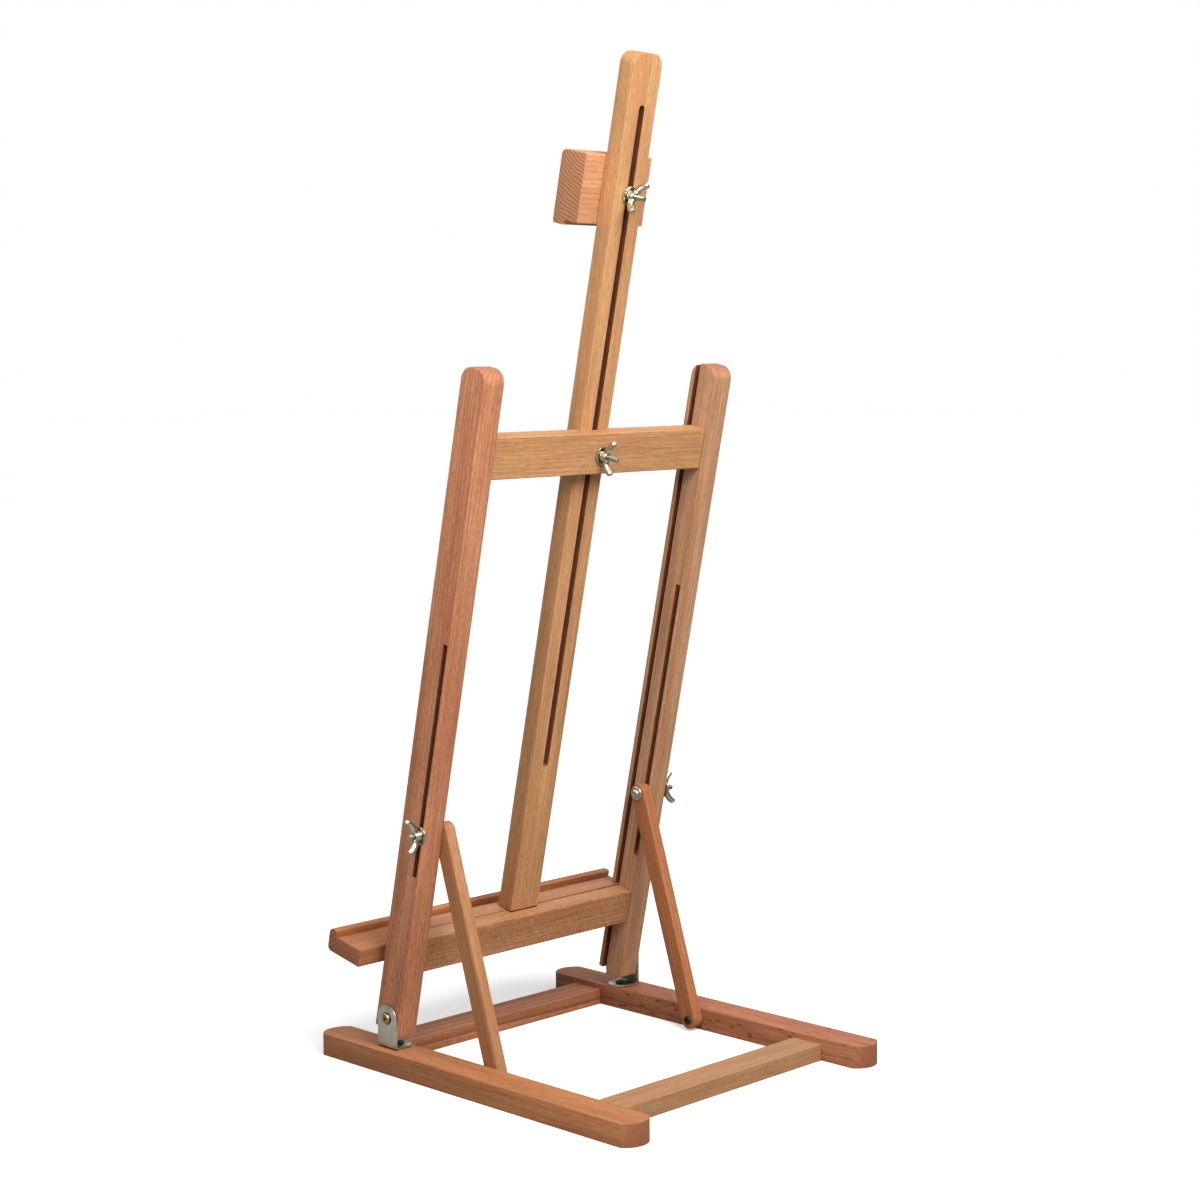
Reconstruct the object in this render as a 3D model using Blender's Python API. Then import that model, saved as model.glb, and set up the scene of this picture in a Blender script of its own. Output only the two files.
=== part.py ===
"""Wooden table-top artist easel with an H-shaped frame, a sliding mast and folding struts.

Metres, +Z up. The origin lies on the table under the middle of the base, the painter stands
at -Y, and +X is on the painter's right. Pieces of the tilting frame are laid out in the
frame's own coordinates: x across, n towards the back and u up along the uprights.
"""
import math

import bmesh
import bpy
from mathutils import Matrix, Vector

GAP = 0.0003

# base
RAIL_OUTER_X = 0.1750
RAIL_WIDTH = 0.0356
RAIL_HEIGHT = 0.0210
RAIL_HALF_LENGTH = 0.2095
RAIL_END_BULGE = 0.0097
CROSS_RAIL_HEIGHT = 0.0163
CROSS_RAIL_FRONT_Y = (-0.1697, -0.1335)
CROSS_RAIL_REAR_Y = (0.1276, 0.1622)

# tilting frame
TILT = math.radians(12.24)
PIVOT_Y = -0.1164
PIVOT_Z = 0.0500
PIVOT_N = -0.0094
PIVOT_U = 0.0123
UPRIGHT_INNER_X = 0.1389
UPRIGHT_WIDTH = 0.0241
UPRIGHT_N = (-0.0268, 0.0052)
UPRIGHT_TOP_U = 0.6372
UPRIGHT_CORNER_R = 0.0130
FOOT_N = -0.0155
FOOT_TOP_U = -0.0010
FOOT_REAR_U = -0.0025
FOOT_FRONT_U = -0.0069
GROOVE_N = (-0.0215, -0.0160)
GROOVE_DEPTH = 0.0070
SLOT_WIDTH = 0.0056
SLOT_OUTER_U = (0.1590, 0.3844)
SLOT_INNER_U = (0.1313, 0.4181)
LOWER_RAIL_U = (0.0591, 0.0931)
LOWER_RAIL_N = (-0.0165, 0.0027)
CROSSBAR_U = (0.5373, 0.5763)
CROSSBAR_N = (-0.0165, 0.0033)
CROSSBAR_BOLT_U = 0.5550

# mast, tray and clamp
MAST_HALF_WIDTH = 0.0184
MAST_N = (-0.0294, -0.0109)
MAST_TOP_U = 0.9232
MAST_CORNER_R = 0.0115
MAST_SLOT_U = (0.2428, 0.8768)
MAST_SLOT_WIDTH = 0.0070
CARRIER_N = (-0.0370, -0.0173)
CARRIER_U = (0.0610, 0.0931)
TRAY_HALF_WIDTH = 0.1845
TRAY_N = (-0.0835, -0.0373)
TRAY_FLOOR_U = 0.0740
TRAY_BOTTOM_U = 0.0572
TRAY_LIP_U = 0.0799
TRAY_LIP_N = -0.0727
CLAMP_HALF_WIDTH = 0.0428
CLAMP_N = (-0.0619, -0.0297)
CLAMP_U = (0.7609, 0.8287)
CLAMP_LIP = 0.0040
CLAMP_BOLT_U = 0.7950

# struts
STRUT_WIDTH = 0.0180
STRUT_X = (0.1266, 0.1386)
STRUT_FOOT_Y = 0.0010
STRUT_FOOT_Z = 0.0110
STRUT_BOLT_U = 0.2000

# hardware
BOLT_R = 0.0025
BOLT_HOLE_R = 0.0028
WASHER_R = 0.0088
WASHER_THICK = 0.0012
BRACKET_THICK = 0.0020
BRACKET_HALF_WIDTH = 0.0132
DOWEL_R = 0.0040
DOWEL_HALF_LENGTH = 0.0200
ARRIS = 0.0009


def clearScene():
    for item in list(bpy.data.objects):
        bpy.data.objects.remove(item, do_unlink=True)


def makeMaterial(name, colour, roughness, metallic=0.0):
    material = bpy.data.materials.new(name)
    material.use_nodes = True
    shader = material.node_tree.nodes["Principled BSDF"]
    shader.inputs["Base Color"].default_value = (*colour, 1.0)
    shader.inputs["Roughness"].default_value = roughness
    shader.inputs["Metallic"].default_value = metallic
    return material


def beech(name, colour, roughness=0.5):
    return makeMaterial(name + "_beech", colour, roughness)


def zinc(name):
    return makeMaterial(name + "_zinc", (0.62, 0.60, 0.54), 0.32, 1.0)


RED_BEECH = (0.42, 0.19, 0.10)
PALE_BEECH = (0.50, 0.28, 0.15)
GOLD_BEECH = (0.62, 0.33, 0.15)


def makeEmpty(name, place, turn=(0.0, 0.0, 0.0), parent=None):
    empty = bpy.data.objects.new(name, None)
    bpy.context.collection.objects.link(empty)
    empty.location = place
    empty.rotation_euler = turn
    empty.parent = parent
    return empty


def addObject(name, mesh, material, place=(0.0, 0.0, 0.0), parent=None):
    item = bpy.data.objects.new(name, mesh)
    bpy.context.collection.objects.link(item)
    item.location = place
    item.parent = parent
    if material:
        mesh.materials.append(material)
    return item


def finishMesh(name, shape, smooth=True):
    bmesh.ops.recalc_face_normals(shape, faces=shape.faces[:])
    mesh = bpy.data.meshes.new(name)
    shape.to_mesh(mesh)
    shape.free()
    if smooth:
        mesh.shade_smooth()
        mesh.set_sharp_from_angle(angle=math.radians(35))
    return mesh


def extrudeOutline(name, outline, span, axes):
    """Closed prism: outline points lie along the first two axes, span along the third."""
    order = ["xyz".index(letter) for letter in axes]
    shape = bmesh.new()
    corners = []
    for first, second in outline:
        point = Vector((0.0, 0.0, 0.0))
        point[order[0]] = first
        point[order[1]] = second
        point[order[2]] = span[0]
        corners.append(shape.verts.new(point))
    face = shape.faces.new(corners)
    grown = bmesh.ops.extrude_face_region(shape, geom=[face])
    lifted = [item for item in grown["geom"] if isinstance(item, bmesh.types.BMVert)]
    step = Vector((0.0, 0.0, 0.0))
    step[order[2]] = span[1] - span[0]
    bmesh.ops.translate(shape, verts=lifted, vec=step)
    return finishMesh(name, shape)


def boxOutline(first, second):
    return [(first[0], second[0]), (first[1], second[0]),
            (first[1], second[1]), (first[0], second[1])]


def arcPoints(centre, radius, start, end, steps):
    points = []
    for index in range(steps + 1):
        angle = math.radians(start + (end - start) * index / steps)
        points.append((centre[0] + radius * math.cos(angle),
                       centre[1] + radius * math.sin(angle)))
    return points


def roundBar(name, sections, axis, segments=24):
    """Turned solid: sections are (position, radius) pairs along the axis, ends capped."""
    shape = bmesh.new()
    turn = {"x": Matrix.Rotation(math.radians(90), 3, "Y"),
            "y": Matrix.Rotation(math.radians(-90), 3, "X"),
            "z": Matrix.Identity(3)}[axis]
    rings = []
    for position, radius in sections:
        ring = []
        for index in range(segments):
            angle = 2 * math.pi * (index + 0.5) / segments
            point = Vector((radius * math.cos(angle), radius * math.sin(angle), position))
            ring.append(shape.verts.new(turn @ point))
        rings.append(ring)
    for lower, upper in zip(rings, rings[1:]):
        for index in range(segments):
            after = (index + 1) % segments
            shape.faces.new((lower[index], lower[after], upper[after], upper[index]))
    shape.faces.new(rings[0])
    shape.faces.new(rings[-1])
    return finishMesh(name, shape)


def roundArris(item, width=ARRIS, segments=2):
    bevel = item.modifiers.new("arris", "BEVEL")
    bevel.width = width
    bevel.segments = segments
    bevel.limit_method = "ANGLE"
    bevel.angle_limit = math.radians(40)


def combine(item, mesh, operation="DIFFERENCE", place=(0.0, 0.0, 0.0)):
    """Cuts item with a hidden tool made from mesh, or joins the tool to it."""
    tool = addObject(item.name + "_tool", mesh, None, place, item.parent)
    tool.hide_render = True
    tool.display_type = "WIRE"
    boolean = item.modifiers.new("cut", "BOOLEAN")
    boolean.operation = operation
    boolean.object = tool
    return tool


def bore(item, place, axis, radius, span, segments=24):
    combine(item, roundBar("bore", [(span[0], radius), (span[1], radius)], axis, segments),
            place=place)


def sideName(side):
    return "right" if side > 0 else "left"


def sideSpan(side, inner, outer):
    return (inner, outer) if side > 0 else (-outer, -inner)


def makeSideRail(side):
    name = "base_side_rail_" + sideName(side)
    inner = RAIL_OUTER_X - RAIL_WIDTH
    half = RAIL_WIDTH / 2
    radius = (half ** 2 + RAIL_END_BULGE ** 2) / (2 * RAIL_END_BULGE)
    sweep = math.degrees(math.asin(half / radius))
    middle = inner + half
    end = RAIL_HALF_LENGTH - radius
    outline = arcPoints((0.0, end), radius, 90 - sweep, 90 + sweep, 8)
    outline += arcPoints((0.0, -end), radius, 270 - sweep, 270 + sweep, 8)
    mesh = extrudeOutline(name, outline, (0.0, RAIL_HEIGHT), "xyz")
    rail = addObject(name, mesh, beech(name, RED_BEECH), (side * middle, 0.0, 0.0))
    roundArris(rail)
    for span in (CROSS_RAIL_FRONT_Y, CROSS_RAIL_REAR_Y):
        place = (side * inner, sum(span) / 2, CROSS_RAIL_HEIGHT / 2)
        depth = DOWEL_HALF_LENGTH + 0.001
        bore(rail, place, "x", DOWEL_R + GAP, (-depth, depth))
    bore(rail, (side * 0.150, PIVOT_Y, RAIL_HEIGHT), "z", 0.0021, (-0.017, 0.002))


def makeCrossRail(name, span):
    half = RAIL_OUTER_X - RAIL_WIDTH - GAP
    mesh = extrudeOutline(name, boxOutline((-half, half), span), (0.0, CROSS_RAIL_HEIGHT), "xyz")
    rail = addObject(name, mesh, beech(name, PALE_BEECH))
    roundArris(rail)
    for side in (1, -1):
        place = (side * half, sum(span) / 2, CROSS_RAIL_HEIGHT / 2)
        depth = DOWEL_HALF_LENGTH + 0.001
        bore(rail, place, "x", DOWEL_R + GAP, (-depth, depth))


def makeDowel(name, place, parent=None):
    end = DOWEL_HALF_LENGTH
    slim = DOWEL_R - 0.0006
    sections = [(-end, slim), (-end + 0.001, DOWEL_R), (end - 0.001, DOWEL_R), (end, slim)]
    mesh = roundBar(name, sections, "x")
    addObject(name, mesh, beech(name, GOLD_BEECH), place, parent)


def makeBaseDowels():
    inner = RAIL_OUTER_X - RAIL_WIDTH - GAP / 2
    for side in (1, -1):
        for label, span in (("front", CROSS_RAIL_FRONT_Y), ("rear", CROSS_RAIL_REAR_Y)):
            name = "base_dowel_" + label + "_" + sideName(side)
            makeDowel(name, (side * inner, sum(span) / 2, CROSS_RAIL_HEIGHT / 2))


def makeBracket(side):
    """Bent strip: one leg lies on the side rail, the other stands beside the upright."""
    name = "hinge_bracket_" + sideName(side)
    face = UPRIGHT_INNER_X + UPRIGHT_WIDTH + GAP
    bottom = RAIL_HEIGHT + GAP - PIVOT_Z
    half = BRACKET_HALF_WIDTH
    outline = [(-half, bottom), (half, bottom)] + arcPoints((0.0, 0.0), half, 0, 180, 16)
    leg = extrudeOutline(name, outline, sideSpan(side, face, face + BRACKET_THICK), "yzx")
    bracket = addObject(name, leg, zinc(name), (0.0, PIVOT_Y, PIVOT_Z))
    tip = 0.0135
    flat = [(side * (face + BRACKET_THICK), -half), (side * (face + BRACKET_THICK), half)]
    for first, second in arcPoints((0.0, 0.0), half, 90, 270, 12):
        flat.append((side * (UPRIGHT_INNER_X + tip + first), second))
    foot = extrudeOutline("foot", flat, (bottom, bottom + BRACKET_THICK), "xyz")
    combine(bracket, foot, "UNION", (0.0, PIVOT_Y, PIVOT_Z))
    bore(bracket, (side * face, PIVOT_Y, PIVOT_Z), "x", BOLT_HOLE_R, (-0.006, 0.006))
    bore(bracket, (side * 0.150, PIVOT_Y, RAIL_HEIGHT), "z", 0.0022, (-0.004, 0.006))


def makeBracketScrew(side):
    name = "hinge_bracket_screw_" + sideName(side)
    seat = GAP + BRACKET_THICK + GAP
    sections = [(-0.0155, 0.0004), (-0.0125, 0.0018), (seat, 0.0018), (seat, 0.0042),
                (seat + 0.0010, 0.0040), (seat + 0.0020, 0.0024)]
    mesh = roundBar(name, sections, "z")
    addObject(name, mesh, zinc(name), (side * 0.150, PIVOT_Y, RAIL_HEIGHT))


def makePivotScrew(side, parent):
    name = "frame_pivot_screw_" + sideName(side)
    seat = UPRIGHT_INNER_X + UPRIGHT_WIDTH + GAP + BRACKET_THICK + GAP
    profile = [(seat - 0.0185, 0.0006), (seat - 0.0155, BOLT_R), (seat, BOLT_R),
               (seat, 0.0043), (seat + 0.0011, 0.0041), (seat + 0.0022, 0.0025)]
    sections = [(side * position, radius) for position, radius in profile]
    mesh = roundBar(name, sections, "x")
    addObject(name, mesh, zinc(name), (0.0, PIVOT_N, PIVOT_U), parent)


def makeUpright(side, parent):
    name = "upright_" + sideName(side)
    front, back = UPRIGHT_N
    radius = UPRIGHT_CORNER_R
    top = UPRIGHT_TOP_U
    outline = [(front, FOOT_TOP_U), (FOOT_N, FOOT_TOP_U), (FOOT_N, FOOT_FRONT_U),
               (back, FOOT_REAR_U)]
    outline += arcPoints((back - radius, top - radius), radius, 0, 90, 8)
    outline += arcPoints((front + radius, top - radius), radius, 90, 180, 8)
    outer = UPRIGHT_INNER_X + UPRIGHT_WIDTH
    mesh = extrudeOutline(name, outline, sideSpan(side, UPRIGHT_INNER_X, outer), "yzx")
    upright = addObject(name, mesh, beech(name, RED_BEECH), (0.0, 0.0, 0.0), parent)
    roundArris(upright)
    groove = sideSpan(side, UPRIGHT_INNER_X - 0.010, UPRIGHT_INNER_X + GROOVE_DEPTH)
    cutter = extrudeOutline("groove", boxOutline(groove, GROOVE_N), (-0.030, top + 0.030), "xyz")
    combine(upright, cutter)
    combine(upright, boltSlotMesh(side))
    place = (side * outer, PIVOT_N, PIVOT_U)
    bore(upright, place, "x", BOLT_HOLE_R, (-0.0175, 0.0175))
    for rail in (LOWER_RAIL_U, CROSSBAR_U):
        place = (side * UPRIGHT_INNER_X, railDowelN(), sum(rail) / 2)
        depth = DOWEL_HALF_LENGTH - 0.004
        bore(upright, place, "x", DOWEL_R + GAP, (-depth, depth))


def railDowelN():
    return -0.0068


def boltSlotMesh(side):
    """Long slot across the upright; its ends slope outwards to the inner face."""
    width = UPRIGHT_WIDTH
    spare = 0.004
    points = []
    for end in (0, 1):
        slope = (SLOT_INNER_U[end] - SLOT_OUTER_U[end]) / width
        points.append((SLOT_OUTER_U[end] - slope * spare, SLOT_INNER_U[end] + slope * spare))
    outer = side * (UPRIGHT_INNER_X + width + spare)
    inner = side * (UPRIGHT_INNER_X - spare)
    outline = [(outer, points[0][0]), (outer, points[1][0]),
               (inner, points[1][1]), (inner, points[0][1])]
    return extrudeOutline("slot", outline, (-SLOT_WIDTH / 2, SLOT_WIDTH / 2), "xzy")


def makeFrameRail(name, depth, height, parent):
    """Rail between the uprights, notched in front where the mast runs."""
    half = UPRIGHT_INNER_X - GAP
    mesh = extrudeOutline(name, boxOutline((-half, half), depth), height, "xyz")
    rail = addObject(name, mesh, beech(name, PALE_BEECH), (0.0, 0.0, 0.0), parent)
    roundArris(rail)
    side = MAST_HALF_WIDTH + GAP
    notch = boxOutline((-side, side), (depth[0] - 0.010, MAST_N[1] + GAP))
    combine(rail, extrudeOutline("notch", notch, (height[0] - 0.01, height[1] + 0.01), "xyz"))
    for end in (1, -1):
        place = (end * half, railDowelN(), sum(height) / 2)
        deep = DOWEL_HALF_LENGTH + 0.005
        bore(rail, place, "x", DOWEL_R + GAP, (-deep, deep))
    return rail


def makeFrameDowels(parent):
    shift = 0.0045
    for label, height in (("lower_rail", LOWER_RAIL_U), ("crossbar", CROSSBAR_U)):
        for side in (1, -1):
            name = label + "_dowel_" + sideName(side)
            place = (side * (UPRIGHT_INNER_X - shift), railDowelN(), sum(height) / 2)
            makeDowel(name, place, parent)


def makeMast(parent):
    name = "mast"
    half = MAST_HALF_WIDTH
    radius = MAST_CORNER_R
    outline = [(-half, CARRIER_U[1] + GAP), (half, CARRIER_U[1] + GAP)]
    outline += arcPoints((half - radius, MAST_TOP_U - radius), radius, 0, 90, 6)
    outline += arcPoints((radius - half, MAST_TOP_U - radius), radius, 90, 180, 6)
    mesh = extrudeOutline(name, outline, MAST_N, "xzy")
    mast = addObject(name, mesh, beech(name, GOLD_BEECH), (0.0, 0.0, 0.0), parent)
    roundArris(mast)
    slit = MAST_SLOT_WIDTH / 2
    slot = [(-slit, MAST_SLOT_U[0]), (slit, MAST_SLOT_U[0])]
    slot += arcPoints((0.0, MAST_SLOT_U[1] - slit), slit, 0, 180, 12)
    combine(mast, extrudeOutline("slot", slot, (MAST_N[0] - 0.01, MAST_N[1] + 0.01), "xzy"))
    bore(mast, (0.0, footScrewN(), CARRIER_U[1]), "z", 0.0021, (-0.002, 0.033))


def footScrewN():
    return -0.0230


def makeCarrier(parent):
    """Bar behind the tray, with a tongue at each end that runs in the upright's groove."""
    name = "tray_carrier"
    half = UPRIGHT_INNER_X - GAP
    reach = UPRIGHT_INNER_X + GROOVE_DEPTH - GAP
    front, back = CARRIER_N
    tongue = GROOVE_N[0] + GAP
    outline = [(-half, front), (half, front), (half, tongue), (reach, tongue), (reach, back),
               (-reach, back), (-reach, tongue), (-half, tongue)]
    mesh = extrudeOutline(name, outline, CARRIER_U, "xyz")
    carrier = addObject(name, mesh, beech(name, RED_BEECH), (0.0, 0.0, 0.0), parent)
    roundArris(carrier, 0.0006, 1)
    place = (0.0, footScrewN(), CARRIER_U[0])
    bore(carrier, place, "z", 0.0021, (-0.002, 0.040))
    bore(carrier, place, "z", 0.0044, (-0.002, 0.0035))
    for side in (1, -1):
        place = (side * 0.090, back, 0.0660)
        bore(carrier, place, "y", 0.0021, (-0.030, 0.002))
        bore(carrier, place, "y", 0.0044, (-0.0035, 0.002))


def makeFootScrew(parent):
    name = "mast_foot_screw"
    sections = [(0.0004, 0.0040), (0.0030, 0.0040), (0.0030, 0.0018), (0.0600, 0.0018),
                (0.0630, 0.0004)]
    mesh = roundBar(name, sections, "z", 16)
    addObject(name, mesh, zinc(name), (0.0, footScrewN(), CARRIER_U[0]), parent)


def makeTray(parent):
    name = "tray"
    front, back = TRAY_N
    groove = 0.0014
    radius = 0.0050
    outline = [(back, TRAY_BOTTOM_U), (back, TRAY_FLOOR_U),
               (TRAY_LIP_N + groove, TRAY_FLOOR_U), (TRAY_LIP_N + groove, TRAY_FLOOR_U - groove),
               (TRAY_LIP_N, TRAY_FLOOR_U - groove)]
    outline += arcPoints((TRAY_LIP_N - 0.0015, TRAY_LIP_U - 0.0015), 0.0015, 0, 90, 3)
    outline += arcPoints((front + radius, TRAY_LIP_U - radius), radius, 90, 180, 5)
    outline += arcPoints((front + radius, TRAY_BOTTOM_U + radius), radius, 180, 270, 5)
    span = (-TRAY_HALF_WIDTH, TRAY_HALF_WIDTH)
    tray = addObject(name, extrudeOutline(name, outline, span, "yzx"),
                     beech(name, RED_BEECH), (0.0, 0.0, 0.0), parent)
    roundArris(tray, 0.0006, 1)
    for side in (1, -1):
        bore(tray, (side * 0.090, back, 0.0660), "y", 0.0021, (-0.028, 0.002))


def makeTrayScrew(side, parent):
    name = "tray_screw_" + sideName(side)
    sections = [(-0.0440, 0.0004), (-0.0410, 0.0018), (-0.0030, 0.0018), (-0.0030, 0.0040),
                (-0.0004, 0.0040)]
    mesh = roundBar(name, sections, "y", 16)
    addObject(name, mesh, zinc(name), (side * 0.090, CARRIER_N[1], 0.0660), parent)


def makeClamp(parent):
    """Block that holds the canvas's top edge; its front lip hangs a little lower."""
    name = "clamp_block"
    front, back = CLAMP_N
    low, high = CLAMP_U
    radius = 0.0060
    step = -0.0480
    outline = [(back, low + CLAMP_LIP), (back, high)]
    outline += arcPoints((front + radius, high - radius), radius, 90, 180, 5)
    outline += arcPoints((front + 0.0030, low + 0.0030), 0.0030, 180, 270, 4)
    outline += [(step, low), (step, low + CLAMP_LIP)]
    span = (-CLAMP_HALF_WIDTH, CLAMP_HALF_WIDTH)
    clamp = addObject(name, extrudeOutline(name, outline, span, "yzx"),
                      beech(name, GOLD_BEECH), (0.0, 0.0, 0.0), parent)
    roundArris(clamp)
    place = (0.0, front, CLAMP_BOLT_U)
    bore(clamp, place, "y", BOLT_HOLE_R, (-0.002, 0.034))
    bore(clamp, place, "y", 0.0080, (-0.002, 0.0060))


def washerMesh(name, axis):
    shape = bmesh.new()
    turn = {"x": Matrix.Rotation(math.radians(90), 3, "Y"),
            "y": Matrix.Rotation(math.radians(-90), 3, "X")}[axis]
    segments = 24
    rings = []
    for height in (0.0, WASHER_THICK):
        for radius in (BOLT_HOLE_R, WASHER_R):
            ring = []
            for index in range(segments):
                angle = 2 * math.pi * (index + 0.5) / segments
                spot = Vector((radius * math.cos(angle), radius * math.sin(angle), height))
                ring.append(shape.verts.new(turn @ spot))
            rings.append(ring)
    for first, second in ((0, 1), (1, 3), (3, 2), (2, 0)):
        for index in range(segments):
            after = (index + 1) % segments
            shape.faces.new((rings[first][index], rings[first][after],
                             rings[second][after], rings[second][index]))
    return finishMesh(name, shape)


def makeWasher(name, place, axis, parent):
    addObject(name, washerMesh(name, axis), zinc(name), place, parent)


def boltSections(head, length, sign):
    """Domed head of the given radius below the seat, then the shank with a chamfered end."""
    profile = [(-0.0030, head * 0.55), (-0.0022, head * 0.85), (-0.0010, head), (0.0, head),
               (0.0, BOLT_R), (length - 0.0006, BOLT_R), (length, BOLT_R - 0.0006)]
    return [(sign * position, radius) for position, radius in profile]


def makeBolt(name, place, axis, head, length, sign, parent):
    mesh = roundBar(name, boltSections(head, length, sign), axis)
    addObject(name, mesh, zinc(name), place, parent)


def makeWingNut(name, place, axis, sign, turn, parent):
    """Conical hub with two wings; turn is the angle of the wings about the bolt."""
    hub = [(0.0, 0.0057), (0.0012, 0.0058), (0.0068, 0.0043)]
    mesh = roundBar(name, [(sign * position, radius) for position, radius in hub], axis)
    nut = addObject(name, mesh, zinc(name), place, parent)
    profile = [(-0.0045, 0.0008), (0.0045, 0.0008), (0.0095, 0.0028), (0.0138, 0.0072),
               (0.0152, 0.0120), (0.0142, 0.0149), (0.0115, 0.0155), (0.0090, 0.0130),
               (0.0072, 0.0088), (0.0042, 0.0074)]
    mirrored = [(-across, along) for across, along in reversed(profile[2:])]
    outline = [(across, sign * along) for across, along in profile + mirrored]
    layout = {"x": "yxz", "y": "xyz"}[axis]
    blade = extrudeOutline("wings", outline, (-0.0015, 0.0015), layout)
    wings = combine(nut, blade, "UNION", place)
    hole = roundBar("bore", [(-0.020, BOLT_HOLE_R), (0.020, BOLT_HOLE_R)], axis)
    combine(nut, hole, place=place)
    angle = math.radians(turn)
    wings.rotation_euler = (angle, 0.0, 0.0) if axis == "x" else (0.0, angle, 0.0)


def makeStrut(side, parent, lean, length):
    """Flat bar with round ends; its origin is the upper bolt."""
    name = "strut_" + sideName(side)
    half = STRUT_WIDTH / 2
    outline = arcPoints((0.0, 0.0), half, 0, 180, 12)
    outline += arcPoints((0.0, -length), half, 180, 360, 12)
    mesh = extrudeOutline(name, outline, sideSpan(side, *STRUT_X), "yzx")
    strut = addObject(name, mesh, beech(name, RED_BEECH), (0.0, 0.0, 0.0), parent)
    strut.rotation_euler = (lean, 0.0, 0.0)
    roundArris(strut)
    middle = side * sum(STRUT_X) / 2
    bore(strut, (middle, 0.0, 0.0), "x", BOLT_HOLE_R, (-0.012, 0.012))
    down = Matrix.Rotation(lean, 3, "X") @ Vector((0.0, 0.0, -length))
    bore(strut, (middle, down.y, down.z), "x", BOLT_HOLE_R, (-0.012, 0.012))
    makeStrutScrew(side, parent, down)


def makeStrutScrew(side, parent, down):
    name = "strut_pivot_screw_" + sideName(side)
    seat = STRUT_X[0] - GAP
    profile = [(seat - 0.0020, 0.0024), (seat - 0.0010, 0.0040), (seat, 0.0043),
               (seat, 0.0024), (STRUT_X[1] + 0.0004, 0.0024)]
    sections = [(side * position, radius) for position, radius in profile]
    addObject(name, roundBar(name, sections, "x"), zinc(name), (0.0, down.y, down.z), parent)


def makeBase():
    for side in (1, -1):
        makeSideRail(side)
        makeBracket(side)
        makeBracketScrew(side)
    makeCrossRail("base_cross_rail_front", CROSS_RAIL_FRONT_Y)
    makeCrossRail("base_cross_rail_rear", CROSS_RAIL_REAR_Y)
    makeBaseDowels()


def makeFrame(datum):
    for side in (1, -1):
        makeUpright(side, datum)
        makePivotScrew(side, datum)
    makeFrameRail("lower_rail", LOWER_RAIL_N, LOWER_RAIL_U, datum)
    crossbar = makeFrameRail("crossbar", CROSSBAR_N, CROSSBAR_U, datum)
    bore(crossbar, (0.0, 0.0, CROSSBAR_BOLT_U), "y", BOLT_HOLE_R, (-0.030, 0.010))
    makeFrameDowels(datum)
    seat = MAST_N[0] - GAP
    length = CROSSBAR_N[1] + 0.0210 - seat
    makeBolt("crossbar_bolt", (0.0, seat, CROSSBAR_BOLT_U), "y", 0.0070, length, 1, datum)
    back = CROSSBAR_N[1] + GAP
    makeWasher("crossbar_washer", (0.0, back, CROSSBAR_BOLT_U), "y", datum)
    back += WASHER_THICK + GAP
    place = (0.0, back, CROSSBAR_BOLT_U)
    makeWingNut("crossbar_wing_nut", place, "y", 1, 90, datum)


def makeMastGroup(slide):
    makeMast(slide)
    makeCarrier(slide)
    makeFootScrew(slide)
    makeTray(slide)
    for side in (1, -1):
        makeTrayScrew(side, slide)


def makeClampGroup(slide):
    makeClamp(slide)
    seat = CLAMP_N[0] + 0.0060 - GAP
    length = MAST_N[1] + 0.0200 - seat
    makeBolt("clamp_bolt", (0.0, seat, CLAMP_BOLT_U), "y", 0.0070, length, 1, slide)
    back = MAST_N[1] + GAP
    makeWasher("clamp_washer", (0.0, back, CLAMP_BOLT_U), "y", slide)
    back += WASHER_THICK + GAP
    makeWingNut("clamp_wing_nut", (0.0, back, CLAMP_BOLT_U), "y", 1, 58, slide)


def makeStrutGroup(side, datum):
    centre = makeEmpty("strut_bolt_axis_" + sideName(side), (0.0, 0.0, STRUT_BOLT_U),
                       parent=datum)
    seat = STRUT_X[0] - GAP
    outer = UPRIGHT_INNER_X + UPRIGHT_WIDTH
    name = sideName(side)
    makeBolt("strut_bolt_" + name, (side * seat, 0.0, 0.0), "x", 0.0070,
             outer + 0.0140 - seat, side, centre)
    rest = outer + GAP if side > 0 else -outer - GAP - WASHER_THICK
    makeWasher("strut_washer_" + name, (rest, 0.0, 0.0), "x", centre)
    spot = side * (outer + GAP + WASHER_THICK + GAP)
    makeWingNut("strut_wing_nut_" + name, (spot, 0.0, 0.0), "x", side, 111, centre)
    lean, length = strutLine()
    makeStrut(side, centre, lean, length)


def strutLine():
    """Turn of the strut in the frame's coordinates, and its length between pivots."""
    up = Vector((0.0, math.sin(TILT), math.cos(TILT)))
    back = Vector((0.0, math.cos(TILT), -math.sin(TILT)))
    datum = Vector((0.0, PIVOT_Y, PIVOT_Z)) - PIVOT_U * up - PIVOT_N * back
    bolt = datum + STRUT_BOLT_U * up
    foot = Vector((0.0, STRUT_FOOT_Y, STRUT_FOOT_Z))
    line = foot - bolt
    angle = math.atan2(line.y, -line.z)
    return angle + TILT, line.length


def main():
    clearScene()
    makeBase()
    pivot = makeEmpty("frame_tilt", (0.0, PIVOT_Y, PIVOT_Z), (-TILT, 0.0, 0.0))
    datum = makeEmpty("frame_datum", (0.0, -PIVOT_N, -PIVOT_U), parent=pivot)
    makeFrame(datum)
    mast = makeEmpty("mast_slide", (0.0, 0.0, 0.0), parent=datum)
    makeMastGroup(mast)
    clamp = makeEmpty("clamp_slide", (0.0, 0.0, 0.0), parent=mast)
    makeClampGroup(clamp)
    for side in (1, -1):
        makeStrutGroup(side, datum)
    bpy.context.view_layer.update()


main()
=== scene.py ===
import math

import bpy
from mathutils import Euler, Matrix, Vector


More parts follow.
